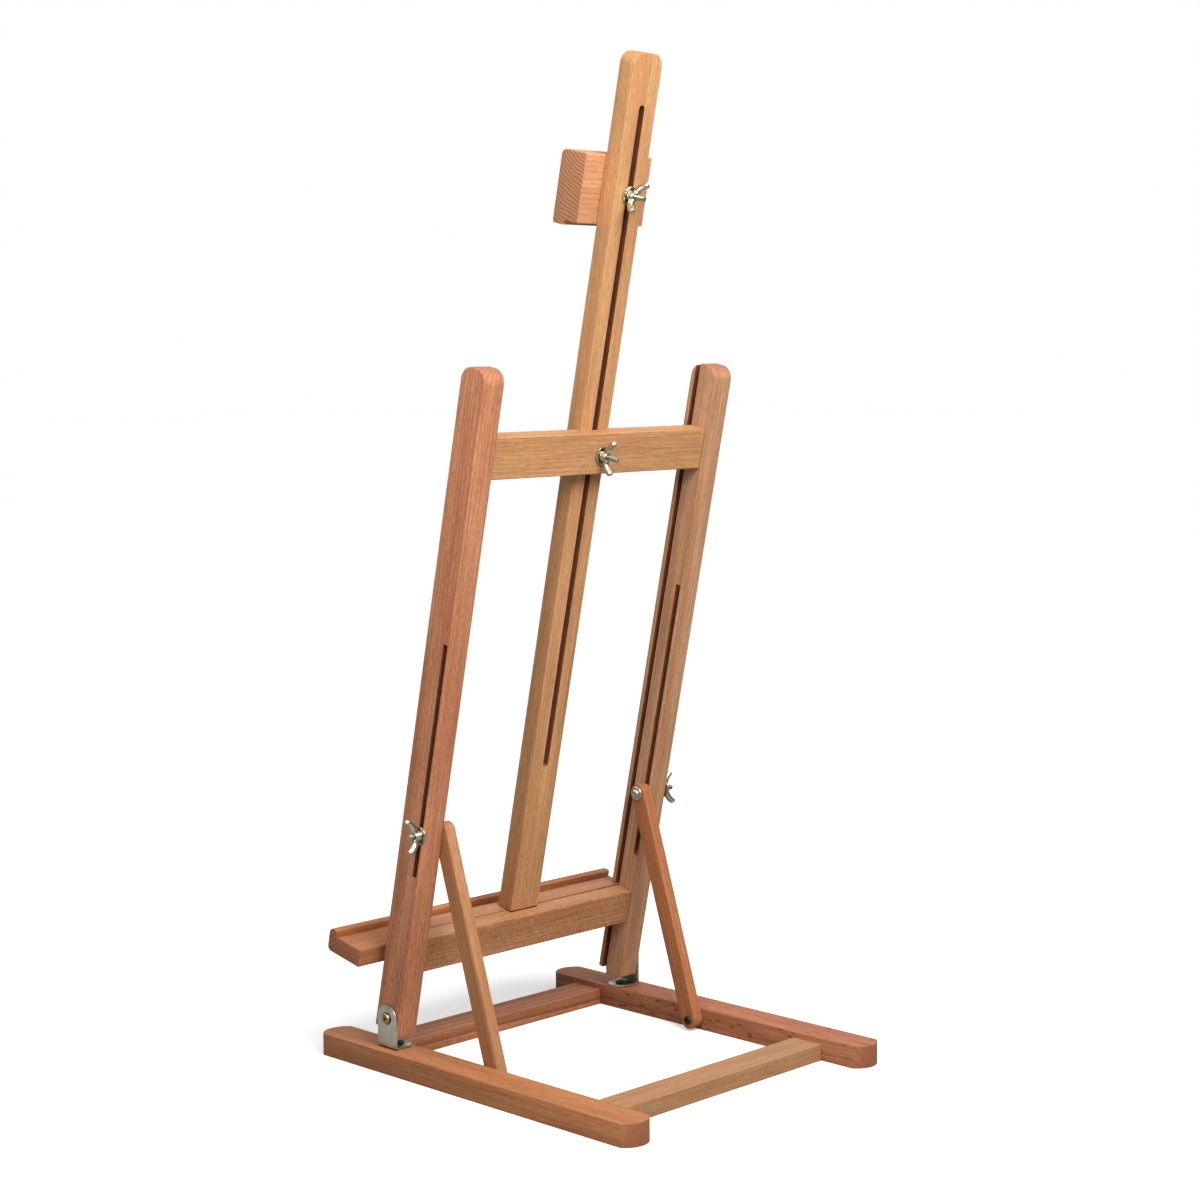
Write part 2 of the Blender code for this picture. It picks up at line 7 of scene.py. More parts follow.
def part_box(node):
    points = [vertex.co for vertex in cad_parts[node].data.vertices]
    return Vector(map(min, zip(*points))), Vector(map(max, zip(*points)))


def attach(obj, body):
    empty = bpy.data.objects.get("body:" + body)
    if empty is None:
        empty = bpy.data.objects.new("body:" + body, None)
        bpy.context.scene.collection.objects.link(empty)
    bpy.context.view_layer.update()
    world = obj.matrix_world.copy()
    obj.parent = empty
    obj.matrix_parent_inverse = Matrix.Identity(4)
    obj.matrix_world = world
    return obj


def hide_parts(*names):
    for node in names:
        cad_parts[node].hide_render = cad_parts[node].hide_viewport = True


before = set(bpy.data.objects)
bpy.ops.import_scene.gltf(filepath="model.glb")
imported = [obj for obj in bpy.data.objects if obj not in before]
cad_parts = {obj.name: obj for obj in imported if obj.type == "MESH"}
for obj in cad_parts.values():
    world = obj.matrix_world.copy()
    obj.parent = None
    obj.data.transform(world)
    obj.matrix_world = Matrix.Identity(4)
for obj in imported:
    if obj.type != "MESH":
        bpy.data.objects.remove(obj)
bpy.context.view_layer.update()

print("frame loaded:", len(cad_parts), "nodes")

mm = 0.001
tilt = math.radians(12.24)      # lean of the H-frame
frameDatum = Vector((0, -0.109822, 0.035987))
framePlace = Matrix.Translation(frameDatum) @ Matrix.Rotation(-tilt, 4, "X")


# small helpers

def hexColour(code):
    # sRGB hex to linear
    values = [int(code[i:i + 2], 16) / 255 for i in (1, 3, 5)]
    linear = [v / 12.92 if v <= 0.04045 else ((v + 0.055) / 1.055) ** 2.4 for v in values]
    return (*linear, 1.0)


def addNode(tree, kind, settings=None, links=None):
    # settings fill the node or its inputs; a link may name a node for its first output
    node = tree.nodes.new(kind)
    for name, value in (settings or {}).items():
        if isinstance(name, str) and hasattr(node, name):
            setattr(node, name, value)
        else:
            node.inputs[name].default_value = value
    for name, source in (links or {}).items():
        if isinstance(source, bpy.types.Node):
            source = source.outputs[0]
        tree.links.new(source, node.inputs[name])
    return node


def startMaterial(name):
    material = bpy.data.materials.new(name)
    material.use_nodes = True
    material.node_tree.nodes.clear()
    return material, material.node_tree


def giveMaterials(piece, *materials):
    piece.data.materials.clear()
    for material in materials:
        piece.data.materials.append(material)


def clearSelection():
    if bpy.context.mode != "OBJECT":
        bpy.ops.object.mode_set(mode="OBJECT")
    bpy.ops.object.select_all(action="DESELECT")


def makeActive(piece):
    clearSelection()
    piece.select_set(True)
    bpy.context.view_layer.objects.active = piece


def addBox(name, corner, opposite):
    # a block between any two opposite corners
    clearSelection()
    low = Vector([min(pair) for pair in zip(corner, opposite)])
    high = Vector([max(pair) for pair in zip(corner, opposite)])
    bpy.ops.mesh.primitive_cube_add(size=1, location=(low + high) / 2)
    piece = bpy.context.object
    piece.name = name
    piece.scale = high - low
    bpy.ops.object.transform_apply(location=True, rotation=True, scale=True)
    return piece


def addRound(name, radius, low, high, sides=48, axis="Z", centre=(0, 0, 0)):
    clearSelection()
    turn = {"X": (0, math.pi / 2, 0), "Y": (-math.pi / 2, 0, 0), "Z": (0, 0, 0)}[axis]
    step = Euler(turn).to_matrix() @ Vector((0, 0, (low + high) / 2))
    bpy.ops.mesh.primitive_cylinder_add(vertices=sides, radius=radius, depth=high - low,
                                        location=Vector(centre) + step, rotation=turn)
    piece = bpy.context.object
    piece.name = name
    bpy.ops.object.transform_apply(location=True, rotation=True, scale=True)
    return piece


def leaveEdit():
    bpy.ops.object.mode_set(mode="OBJECT")


def editAll(piece):
    # edit mode with the whole mesh selected
    makeActive(piece)
    bpy.ops.object.mode_set(mode="EDIT")
    bpy.ops.mesh.select_all(action="SELECT")


def selectWhere(piece, what, test):
    # what is VERT, EDGE or FACE; an edge or a face counts when all its corners pass
    makeActive(piece)
    bpy.ops.object.mode_set(mode="EDIT")
    bpy.ops.mesh.select_all(action="DESELECT")
    bpy.ops.mesh.select_mode(type=what)
    leaveEdit()
    mesh = piece.data
    parts = {"VERT": mesh.vertices, "EDGE": mesh.edges, "FACE": mesh.polygons}[what]
    count = 0
    for part in parts:
        corners = [part.index] if what == "VERT" else part.vertices
        if all(test(mesh.vertices[i].co) for i in corners):
            part.select = True
            count += 1
    bpy.ops.object.mode_set(mode="EDIT")
    return count


def near(value, target, room=0.02 * mm):
    return abs(value - target) < room


def roundEdges(piece, test, radius, steps):
    selectWhere(piece, "EDGE", test)
    bpy.ops.mesh.bevel(offset=radius, segments=steps, affect="EDGES", clamp_overlap=False)
    leaveEdit()


def drawOut(piece, test, move):
    # extrudes the faces that pass the test
    selectWhere(piece, "FACE", test)
    bpy.ops.mesh.extrude_region_move(TRANSFORM_OT_translate={"value": move})
    leaveEdit()


def scalePart(piece, what, test, ratios):
    selectWhere(piece, what, test)
    bpy.ops.transform.resize(value=ratios)
    leaveEdit()


def applyModifier(piece, kind, **settings):
    makeActive(piece)
    change = piece.modifiers.new("change", kind)
    for name, value in settings.items():
        setattr(change, name, value)
    bpy.ops.object.modifier_apply(modifier="change")


def easeEdges(piece, width, steps=3, angle=38):
    # soft arris all round
    applyModifier(piece, "BEVEL", width=width, segments=steps, limit_method="ANGLE",
                  angle_limit=math.radians(angle), harden_normals=False)


def cutWith(piece, tool, operation="DIFFERENCE"):
    applyModifier(piece, "BOOLEAN", operation=operation, solver="EXACT", object=tool)
    bpy.data.objects.remove(tool, do_unlink=True)


def smoothPiece(piece, angle=32):
    makeActive(piece)
    bpy.ops.object.shade_smooth_by_angle(angle=math.radians(angle))


def placePiece(piece, matrix):
    # puts the place into the mesh, so the object stays at the origin
    makeActive(piece)
    piece.matrix_world = matrix @ piece.matrix_world
    bpy.ops.object.transform_apply(location=True, rotation=True, scale=True)


def finishPiece(piece, body, nodes, material, angle=32):
    smoothPiece(piece, angle)
    if material:
        giveMaterials(piece, material)
    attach(piece, body)
    if nodes:
        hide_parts(*nodes)


# beech
# Steamed and oiled beech, planed and sanded: fine pores, faint growth rings, short dark
# ray flecks on the flat-sawn faces, darker end grain. Gives a warm, satin, even brown.

grainTurns = {
    "up": (tilt, 0, 0),                      # along the uprights
    "across": (0, -math.pi / 2, 0),          # level, along X
    "acrossTilted": (tilt, -math.pi / 2, 0),
    "back": (math.pi / 2, 0, 0),             # along the base's side rails
    "strut": (math.radians(-17.24), 0, 0),
}

# noise grains in millimetres: across, along, detail, roughness, shift
grainNoise = {"bend": (26, 320, 1.5, 0.5, 3.1), "ringFade": (40, 260, 1.0, 0.5, 9.7),
              "drift": (14, 170, 2.0, 0.55, 17.0), "streak": (1.3, 60, 2.0, 0.6, 5.0),
              "fibre": (0.5, 8, 3.0, 0.68, 1.0), "pores": (0.7, 0.7, 2.0, 0.6, 2.0)}


def makeBeech(name, centre, looks):
    material, tree = startMaterial(name)
    turn = Euler(grainTurns[looks["grain"]], "XYZ")
    inGrain = turn.to_matrix() @ (Vector(centre) * 1000)
    pith = Vector(looks["pith"])             # from the piece's middle to the tree's heart, mm
    place = addNode(tree, "ShaderNodeTexCoord")
    # millimetres, grain along Z
    coords = addNode(tree, "ShaderNodeMapping",
                     {"Location": pith - inGrain, "Rotation": turn, "Scale": (1000, 1000, 1000)},
                     {"Vector": place.outputs["Object"]})
    noise = {}
    for part, (across, along, detail, rough, shift) in grainNoise.items():
        drawn = addNode(tree, "ShaderNodeMapping",
                        {"Location": (shift, shift * 0.7, shift * 1.3),
                         "Scale": (1 / across, 1 / across, 1 / along)}, {"Vector": coords})
        noise[part] = addNode(tree, "ShaderNodeTexNoise",
                              {"Scale": 1.0, "Detail": detail, "Roughness": rough},
                              {"Vector": drawn})

    # growth rings about the pith, bent a little along the length
    bend = addNode(tree, "ShaderNodeMapRange",
                   {"To Min": -looks["bend"] / 2, "To Max": looks["bend"] / 2},
                   {"Value": noise["bend"]})
    flat = addNode(tree, "ShaderNodeVectorMath", {"operation": "MULTIPLY", 1: (1, 1, 0)},
                   {0: coords})
    radius = addNode(tree, "ShaderNodeVectorMath", {"operation": "LENGTH"}, {0: flat})
    bent = addNode(tree, "ShaderNodeMath", {"operation": "ADD"},
                   {0: radius.outputs["Value"], 1: bend})
    rings = addNode(tree, "ShaderNodeMath", {"operation": "DIVIDE", 1: looks["ringWidth"]},
                    {0: bent})
    ring = addNode(tree, "ShaderNodeMath", {"operation": "FRACT"}, {0: rings})
    ringShade = addNode(tree, "ShaderNodeValToRGB", links={"Fac": ring})
    ramp = ringShade.color_ramp
    ramp.elements[0].color = (0.25, 0.25, 0.25, 1)
    ramp.elements[1].color = (0.3, 0.3, 0.3, 1)
    for at, level in ((0.10, 0.0), (0.62, 0.25), (0.93, 1.0)):
        stop = ramp.elements.new(at)
        stop.color = (level, level, level, 1)
    ringFade = addNode(tree, "ShaderNodeMath",
                       {"operation": "MULTIPLY", 1: looks["ringStrength"]},
                       {0: noise["ringFade"]})
    ringAmount = addNode(tree, "ShaderNodeMath", {"operation": "MULTIPLY"},
                         {0: ringShade, 1: ringFade})

    # slow drift of colour through the board, then fibres about half a millimetre wide
    drift = addNode(tree, "ShaderNodeMapRange", {"From Min": 0.30, "From Max": 0.70},
                    {"Value": noise["drift"]})
    colour = addNode(tree, "ShaderNodeMix",
                     {"data_type": "RGBA", 6: hexColour(looks["dark"]),
                      7: hexColour(looks["light"])}, {0: drift})
    colour = addNode(tree, "ShaderNodeMix", {"data_type": "RGBA", 7: hexColour(looks["ring"])},
                     {0: ringAmount, 6: colour.outputs[2]})
    streak = addNode(tree, "ShaderNodeMapRange",
                     {"From Min": 0.34, "From Max": 0.66, "To Min": 1 - looks["streak"],
                      "To Max": 1 + looks["streak"]}, {"Value": noise["streak"]})
    fibre = addNode(tree, "ShaderNodeMapRange",
                    {"From Min": 0.32, "From Max": 0.68, "To Min": 1 - looks["fibre"],
                     "To Max": 1 + looks["fibre"]}, {"Value": noise["fibre"]})
    tone = addNode(tree, "ShaderNodeMath", {"operation": "MULTIPLY"}, {0: streak, 1: fibre})
    colour = addNode(tree, "ShaderNodeVectorMath", {"operation": "SCALE"},
                     {0: colour.outputs[2], "Scale": tone})

    # ray flecks: short dashes, one in a few drawn
    wide = looks["fleckWidth"]
    fleckPlace = addNode(tree, "ShaderNodeMapping",
                         {"Scale": (1 / wide, 1 / (wide * 1.6), 1 / looks["fleckLength"])},
                         {"Vector": coords})
    cells = addNode(tree, "ShaderNodeTexVoronoi", {"Scale": 1.0, "Randomness": 0.9},
                    {"Vector": fleckPlace})
    dash = addNode(tree, "ShaderNodeMapRange",
                   {"From Min": 0.20, "From Max": 0.36, "To Min": looks["fleck"], "To Max": 0},
                   {"Value": cells.outputs["Distance"]})
    pick = addNode(tree, "ShaderNodeSeparateColor", links={"Color": cells.outputs["Color"]})
    chosen = addNode(tree, "ShaderNodeMath", {"operation": "LESS_THAN", 1: looks["fleckShare"]},
                     {0: pick})
    fleck = addNode(tree, "ShaderNodeMath", {"operation": "MULTIPLY"}, {0: dash, 1: chosen})
    colour = addNode(tree, "ShaderNodeMix", {"data_type": "RGBA", 7: hexColour(looks["ring"])},
                     {0: fleck, 6: colour})

    # end grain drinks more oil: darker, with fine pores and the rings showing
    axis = turn.to_matrix().transposed() @ Vector((0, 0, 1))
    facing = addNode(tree, "ShaderNodeVectorMath", {"operation": "DOT_PRODUCT", 1: axis},
                     {0: place.outputs["Normal"]})
    toward = addNode(tree, "ShaderNodeMath", {"operation": "ABSOLUTE"},
                     {0: facing.outputs["Value"]})
    endFace = addNode(tree, "ShaderNodeMapRange",
                      {"From Min": 0.45, "From Max": 0.92, "To Max": looks["end"]},
                      {"Value": toward})
    poreTone = addNode(tree, "ShaderNodeMapRange",
                       {"From Min": 0.35, "From Max": 0.65, "To Min": 0.86, "To Max": 1.1},
                       {"Value": noise["pores"]})
    endRing = addNode(tree, "ShaderNodeMath", {"operation": "MULTIPLY", 1: looks["endRing"]},
                      {0: ringShade})
    endColour = addNode(tree, "ShaderNodeMix",
                        {"data_type": "RGBA", 6: hexColour(looks["endLight"]),
                         7: hexColour(looks["endDark"])}, {0: endRing})
    endColour = addNode(tree, "ShaderNodeVectorMath", {"operation": "SCALE"},
                        {0: endColour.outputs[2], "Scale": poreTone})
    colour = addNode(tree, "ShaderNodeMix", {"data_type": "RGBA"},
                     {0: endFace, 6: colour.outputs[2], 7: endColour})

    # a touch of bump from the fibres, satin oil that is duller in the pores
    height = addNode(tree, "ShaderNodeMath", {"operation": "SUBTRACT"},
                     {0: noise["fibre"], 1: fleck})
    bump = addNode(tree, "ShaderNodeBump", {"Strength": 0.25, "Distance": 0.12 * mm},
                   {"Height": height})
    gloss = addNode(tree, "ShaderNodeMapRange",
                    {"From Min": 0.3, "From Max": 0.7, "To Min": looks["rough"] + 0.06,
                     "To Max": looks["rough"] - 0.06}, {"Value": noise["fibre"]})
    shader = addNode(tree, "ShaderNodeBsdfPrincipled",
                     {"IOR": 1.47, "Metallic": 0.0, "Specular IOR Level": 0.35},
                     {"Base Color": colour.outputs[2], "Roughness": gloss, "Normal": bump})
    addNode(tree, "ShaderNodeOutputMaterial", links={"Surface": shader})
    return material


beechBase = {"grain": "up", "pith": (60, 90, 0), "ringWidth": 3.4, "ringStrength": 0.55,
             "bend": 9.0, "dark": "#A86F4E", "light": "#B98260", "ring": "#7E4A31",
             "streak": 0.14, "fibre": 0.26, "fleckWidth": 0.8, "fleckLength": 2.6,
             "fleckShare": 0.35, "fleck": 0.5, "end": 0.85, "endLight": "#A9714F",
             "endDark": "#7A4A32", "endRing": 0.65, "rough": 0.58}


def woodFor(node, **changes):
    low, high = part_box(node)
    centre = (Vector(low) + Vector(high)) / 2
    return makeBeech(node + "OiledBeech", centre, {**beechBase, **changes})


def makeSlotShadeWood():
    # painted shade for slots, grooves and gaps: dark brown beech, darker still in streaks along
    # the cut
    material, tree = startMaterial("slotShadeBeech")
    place = addNode(tree, "ShaderNodeTexCoord")
    size = addNode(tree, "ShaderNodeMapping", {"Scale": (600, 600, 90)},
                   {"Vector": place.outputs["Object"]})
    slotMottle = addNode(tree, "ShaderNodeTexNoise", {"Scale": 1.0, "Detail": 3.0}, {"Vector": size})
    amount = addNode(tree, "ShaderNodeMapRange", {"From Min": 0.35, "From Max": 0.65},
                     {"Value": slotMottle})
    colour = addNode(tree, "ShaderNodeMix",
                     {"data_type": "RGBA", 6: hexColour("#8A5033"), 7: hexColour("#653722")},
                     {0: amount})
    shader = addNode(tree, "ShaderNodeBsdfPrincipled", {"Roughness": 0.75, "IOR": 1.47},
                     {"Base Color": colour.outputs[2]})
    addNode(tree, "ShaderNodeOutputMaterial", links={"Surface": shader})
    return material


slotShadeWood = makeSlotShadeWood()


def paintShadeInside(piece, wood, test):
    # painted shade: the faces inside a slot, groove or gap take the dark slot-shade wood
    giveMaterials(piece, wood, slotShadeWood)
    selectWhere(piece, "FACE", test)
    piece.active_material_index = 1
    bpy.ops.object.material_slot_assign()
    leaveEdit()


# zinc-plated steel
# Pressed or rolled steel with a thin zinc coat: silvery with a faint straw tint, cloudy
# patches a few millimetres wide and small scratches, so highlights break up softly.

def makeZinc(name, looks):
    material, tree = startMaterial(name)
    place = addNode(tree, "ShaderNodeTexCoord")
    size = addNode(tree, "ShaderNodeMapping", {"Scale": (1000, 1000, 1000)},
                   {"Vector": place.outputs["Object"]})
    cloud = addNode(tree, "ShaderNodeTexNoise",
                    {"Scale": 1 / looks["cloud"], "Detail": 3.0, "Roughness": 0.6},
                    {"Vector": size})
    speck = addNode(tree, "ShaderNodeTexNoise",
                    {"Scale": 1 / looks["speck"], "Detail": 2.0, "Roughness": 0.7},
                    {"Vector": size})
    tint = addNode(tree, "ShaderNodeMapRange", {"From Min": 0.35, "From Max": 0.65},
                   {"Value": cloud})
    colour = addNode(tree, "ShaderNodeMix",
                     {"data_type": "RGBA", 6: hexColour(looks["bright"]),
                      7: hexColour(looks["tinted"])}, {0: tint}).outputs[2]
    worn = addNode(tree, "ShaderNodeMapRange",
                   {"From Min": 0.62, "From Max": 0.72, "To Max": 0.5},
                   {"Value": speck})
    colour = addNode(tree, "ShaderNodeMix",
                     {"data_type": "RGBA", 7: hexColour(looks["dull"])},
                     {0: worn, 6: colour}).outputs[2]
    # painted shade: the colour darkens in the hollows by ambient occlusion, standing in for the
    # shade that falls there
    hollow = addNode(tree, "ShaderNodeAmbientOcclusion",
                     {"Distance": looks["hollow"] * mm, "samples": 8})
    hollowShadeFactor = addNode(tree, "ShaderNodeMapRange",
                    {"From Min": 0.25, "From Max": 0.85, "To Min": 0.12, "To Max": 1.0},
                    {"Value": hollow.outputs["AO"]})
    colour = addNode(tree, "ShaderNodeVectorMath", {"operation": "SCALE"},
                     {0: colour, "Scale": hollowShadeFactor})
    gloss = addNode(tree, "ShaderNodeMapRange",
                    {"From Min": 0.3, "From Max": 0.7, "To Min": looks["rough"] - 0.07,
                     "To Max": looks["rough"] + 0.1}, {"Value": speck})
    bump = addNode(tree, "ShaderNodeBump", {"Strength": 0.15, "Distance": 0.05 * mm},
                   {"Height": speck})
    shader = addNode(tree, "ShaderNodeBsdfPrincipled", {"Metallic": 1.0},
                     {"Base Color": colour, "Roughness": gloss, "Normal": bump})
    addNode(tree, "ShaderNodeOutputMaterial", links={"Surface": shader})
    return material


# hollow: how far the painted hollow shade reaches, in millimetres
nutZinc = makeZinc("brightZincCasting", {"cloud": 3.0, "speck": 0.7, "bright": "#DCD9CC",
                   "tinted": "#CBC5AB", "dull": "#A39E8C", "rough": 0.22, "hollow": 5})
boltZinc = makeZinc("rolledZincThread", {"cloud": 4.0, "speck": 0.6, "bright": "#D8D4C6",
                    "tinted": "#C4BA98", "dull": "#96907C", "rough": 0.24, "hollow": 5})
stripZinc = makeZinc("zincPlatedStrip", {"cloud": 6.0, "speck": 0.9, "bright": "#E0E1D4",
                     "tinted": "#CDCEBC", "dull": "#AEAE9C", "rough": 0.34, "hollow": 18})
# painted shade: near-black metal for the screws in the bracket feet, which sit in shadow; the
# strut screws share it
shadowDarkSteel = makeZinc("shadowDarkScrew", {"cloud": 2.5, "speck": 0.6, "bright": "#4A4842",
                      "tinted": "#36342F", "dull": "#24221F", "rough": 0.42, "hollow": 4})
screwZinc = makeZinc("yellowPassivatedScrew", {"cloud": 2.5, "speck": 0.6, "bright": "#CDB27A",
                     "tinted": "#A88B4F", "dull": "#6E5C38", "rough": 0.3, "hollow": 3})
print("metals ready")


# base

sideRail = {"inner": 139.4 * mm, "outer": 175.0 * mm, "height": 21.0 * mm,
            "endRadius": 21.2 * mm, "halfLength": 209.5 * mm, "ease": 1.3 * mm}


def bisectPiece(piece, point, normal, outer=False, inner=False, fill=True):
    editAll(piece)
    bpy.ops.mesh.bisect(plane_co=point, plane_no=normal, use_fill=fill,
                        clear_outer=outer, clear_inner=inner, threshold=1e-6)
    leaveEdit()


def modelSideRail(side, looks):
    name = "base_side_rail_" + ("right" if side > 0 else "left")
    half = (sideRail["outer"] - sideRail["inner"]) / 2
    end = sideRail["halfLength"] - sideRail["endRadius"]
    rail = addRound("rail_" + name, sideRail["endRadius"], 0, sideRail["height"], 120,
                    centre=(0, end, 0))
    bisectPiece(rail, (half, 0, 0), (1, 0, 0), outer=True)
    bisectPiece(rail, (-half, 0, 0), (-1, 0, 0), outer=True)
    bisectPiece(rail, (0, end, 0), (0, -1, 0), outer=True)
    selectWhere(rail, "FACE", lambda v: near(v.y, end))
    bpy.ops.mesh.extrude_region_move(TRANSFORM_OT_translate={"value": (0, -end, 0)})
    bpy.ops.mesh.delete(type="ONLY_FACE")
    leaveEdit()
    applyModifier(rail, "MIRROR", use_axis=(False, True, False), merge_threshold=0.00001)
    editAll(rail)
    bpy.ops.mesh.remove_doubles(threshold=0.000005)
    bpy.ops.mesh.normals_make_consistent(inside=False)
    bpy.ops.mesh.dissolve_limited(angle_limit=math.radians(0.5))
    leaveEdit()
    easeEdges(rail, sideRail["ease"], 4)
    middle = (sideRail["outer"] + sideRail["inner"]) / 2
    placePiece(rail, Matrix.Translation((side * middle, 0, 0)))
    finishPiece(rail, "base", [name], woodFor(name, **looks))


modelSideRail(1, {"grain": "back", "pith": (70, 40, 0), "dark": "#A4673F", "light": "#B67A50",
                  "fleck": 0.3, "endRing": 0.3, "endLight": "#955C3E", "endDark": "#7C4831"})
modelSideRail(-1, {"grain": "back", "pith": (50, 35, 7), "dark": "#A0603C",
                   "light": "#B8785A", "ringWidth": 5.5, "ringStrength": 1.0, "bend": 14,
                   "endRing": 0.3, "endLight": "#955C3E", "endDark": "#7C4831",
                   "ring": "#5C2416", "fleckWidth": 2.0, "fleckLength": 12,
                   "fleckShare": 0.16, "fleck": 1.0})
print("side rails modelled")


# tilting frame

upright = {"inner": 138.9 * mm, "outer": 163.0 * mm, "front": -26.8 * mm, "back": 5.2 * mm,
           "top": 637.2 * mm, "topRadius": 13.0 * mm, "grooveFront": -21.5 * mm,
           "grooveBack": -16.0 * mm, "grooveDepth": 7.0 * mm, "slotWidth": 5.6 * mm,
           "slotOuter": (159.0 * mm, 384.4 * mm), "slotInner": (131.3 * mm, 418.1 * mm),
           "foot": -14.0 * mm, "sawn": -2.5 * mm, "stepBack": -15.5 * mm, "stepTop": -1.0 * mm,
           "stepRound": 1.5 * mm, "ease": 1.3 * mm}


def modelUpright(side, looks):
    name = "upright_" + ("right" if side > 0 else "left")
    inner, outer = side * upright["inner"], side * upright["outer"]
    post = addBox("post_" + name, (inner, upright["front"], upright["foot"]),
                  (outer, upright["back"], upright["top"]))
    for face in (upright["front"], upright["back"]):
        roundEdges(post, lambda v: near(v.z, upright["top"]) and near(v.y, face),
                   upright["topRadius"], 12)
    # foot sawn level with the table, with a step that clears the base's rail
    bisectPiece(post, (0, upright["back"], upright["sawn"]),
                (0, math.sin(tilt), -math.cos(tilt)), outer=True)
    stepBack, stepTop = upright["stepBack"], upright["stepTop"]
    step = addBox("step", (-1, -40 * mm, -30 * mm), (1, stepBack, stepTop))
    roundEdges(step, lambda v: near(v.z, stepTop) and near(v.y, stepBack),
               upright["stepRound"], 5)
    cutWith(post, step)
    easeEdges(post, upright["ease"], 4)
    groove = addBox("groove", (inner - side * 10 * mm, upright["grooveFront"], -40 * mm),
                    (inner + side * upright["grooveDepth"], upright["grooveBack"],
                     upright["top"] + 50 * mm))
    cutWith(post, groove)
    cutWith(post, slotTool(side))
    slit = upright["slotWidth"] / 2 + 0.02 * mm
    low, high = upright["slotInner"]
    # painted shade: the inner faces of the slot and the groove take the dark slot-shade wood
    paintShadeInside(post, woodFor(name, **looks), lambda v: (
        (abs(v.y) < slit and low - 1 * mm < v.z < high + 1 * mm)
        or (side * v.x <= side * inner + upright["grooveDepth"] + 0.02 * mm
            and upright["grooveFront"] - 0.02 * mm < v.y < upright["grooveBack"] + 0.02 * mm)))
    placePiece(post, framePlace)
    finishPiece(post, "frame", [name], None)


def slotTool(side):
    # routed through from the inside: longer on the inner face, ends sloping
    thick = upright["outer"] - upright["inner"]
    spare = 3 * mm
    low, high = upright["slotOuter"]
    slopeLow = (low - upright["slotInner"][0]) / thick
    slopeHigh = (upright["slotInner"][1] - high) / thick
    inX, outX = side * (upright["inner"] - spare), side * (upright["outer"] + spare)
    half = upright["slotWidth"] / 2
    tool = addBox("slotTool", (inX, -half, low + spare * slopeLow),
                  (outX, half, high - spare * slopeHigh))
    reach = thick + 2 * spare
    middle = (low + high) / 2
    for end, slope in ((-1, slopeLow), (1, slopeHigh)):
        selectWhere(tool, "VERT", lambda v: near(v.x, inX) and end * (v.z - middle) > 0)
        bpy.ops.transform.translate(value=(0, 0, end * reach * slope))
        leaveEdit()
    return tool


modelUpright(1, {"pith": (60, -80, 3), "dark": "#B27150", "light": "#CA8C68", "fleck": 0.5,
                 "fibre": 0.36})
modelUpright(-1, {"pith": (75, 60, 11), "dark": "#B17E5B", "light": "#C89A75", "fleck": 0.7})
print("uprights modelled")


# mast, tray and clamp

mast = {"half": 18.4 * mm, "front": -29.4 * mm, "back": -10.9 * mm, "foot": 93.4 * mm,
        "top": 923.2 * mm, "corner": 11.5 * mm, "slot": 3.5 * mm, "slotLow": 242.8 * mm,
        "slotHigh": 876.8 * mm, "ease": 1.2 * mm}
clamp = {"half": 42.8 * mm, "front": -61.9 * mm, "back": -29.7 * mm, "low": 760.9 * mm,
         "high": 828.7 * mm, "lip": 4.0 * mm, "lipBack": -48.0 * mm, "topRound": 6.0 * mm,
         "lipRound": 3.0 * mm, "boltUp": 795.0 * mm, "pocket": 8.0 * mm,
         "pocketDepth": 6.0 * mm, "bore": 2.8 * mm, "ease": 1.0 * mm}
tray = {"half": 184.5 * mm, "front": -83.5 * mm, "back": -37.3 * mm, "bottom": 57.2 * mm,
        "floor": 74.0 * mm, "lip": 79.9 * mm, "lipBack": -72.7 * mm, "groove": 1.4 * mm,
        "frontRound": 5.0 * mm, "lipRound": 1.5 * mm, "ease": 0.6 * mm}
carrier = {"half": 138.6 * mm, "reach": 145.6 * mm, "front": -37.0 * mm, "back": -17.3 * mm,
           "tongue": -21.2 * mm, "low": 61.0 * mm, "high": 93.1 * mm, "ease": 1.2 * mm,
           "traySpots": (-90.0 * mm, 90.0 * mm), "trayUp": 66.0 * mm, "footBack": -23.0 * mm,
           "sink": 4.4 * mm, "sinkDepth": 3.5 * mm, "bore": 2.1 * mm}


def modelMast():
    half = mast["half"]
    board = addBox("board_mast", (-half, mast["front"], mast["foot"]),
                   (half, mast["back"], mast["top"]))
    for x in (-half, half):
        roundEdges(board, lambda v: near(v.z, mast["top"]) and near(v.x, x),
                   mast["corner"], 14)
    easeEdges(board, mast["ease"], 4)
    slit = mast["slot"]
    tool = addBox("slotTool", (-slit, mast["front"] - 0.01, mast["slotLow"]),
                  (slit, mast["back"] + 0.01, mast["slotHigh"]))
    for x in (-slit, slit):
        roundEdges(tool, lambda v: near(v.z, mast["slotHigh"]) and near(v.x, x),
                   slit * 0.99, 8)
        roundEdges(tool, lambda v: near(v.z, mast["slotLow"]) and near(v.x, x),
                   slit * 0.5, 4)
    cutWith(board, tool)
    wood = woodFor("mast", pith=(70, 45, 5), dark="#B98457", light="#CA986A",
                   ring="#9C6240", ringStrength=0.45, fleck=0.3, fleckShare=0.18,
                   endLight="#C68C60", endDark="#9A6542")
    # painted shade: the slot's inner faces take the dark slot-shade wood
    paintShadeInside(board, wood, lambda v: abs(v.x) < slit + 0.02 * mm)
    placePiece(board, framePlace)
    finishPiece(board, "mast_and_tray", ["mast"], None)


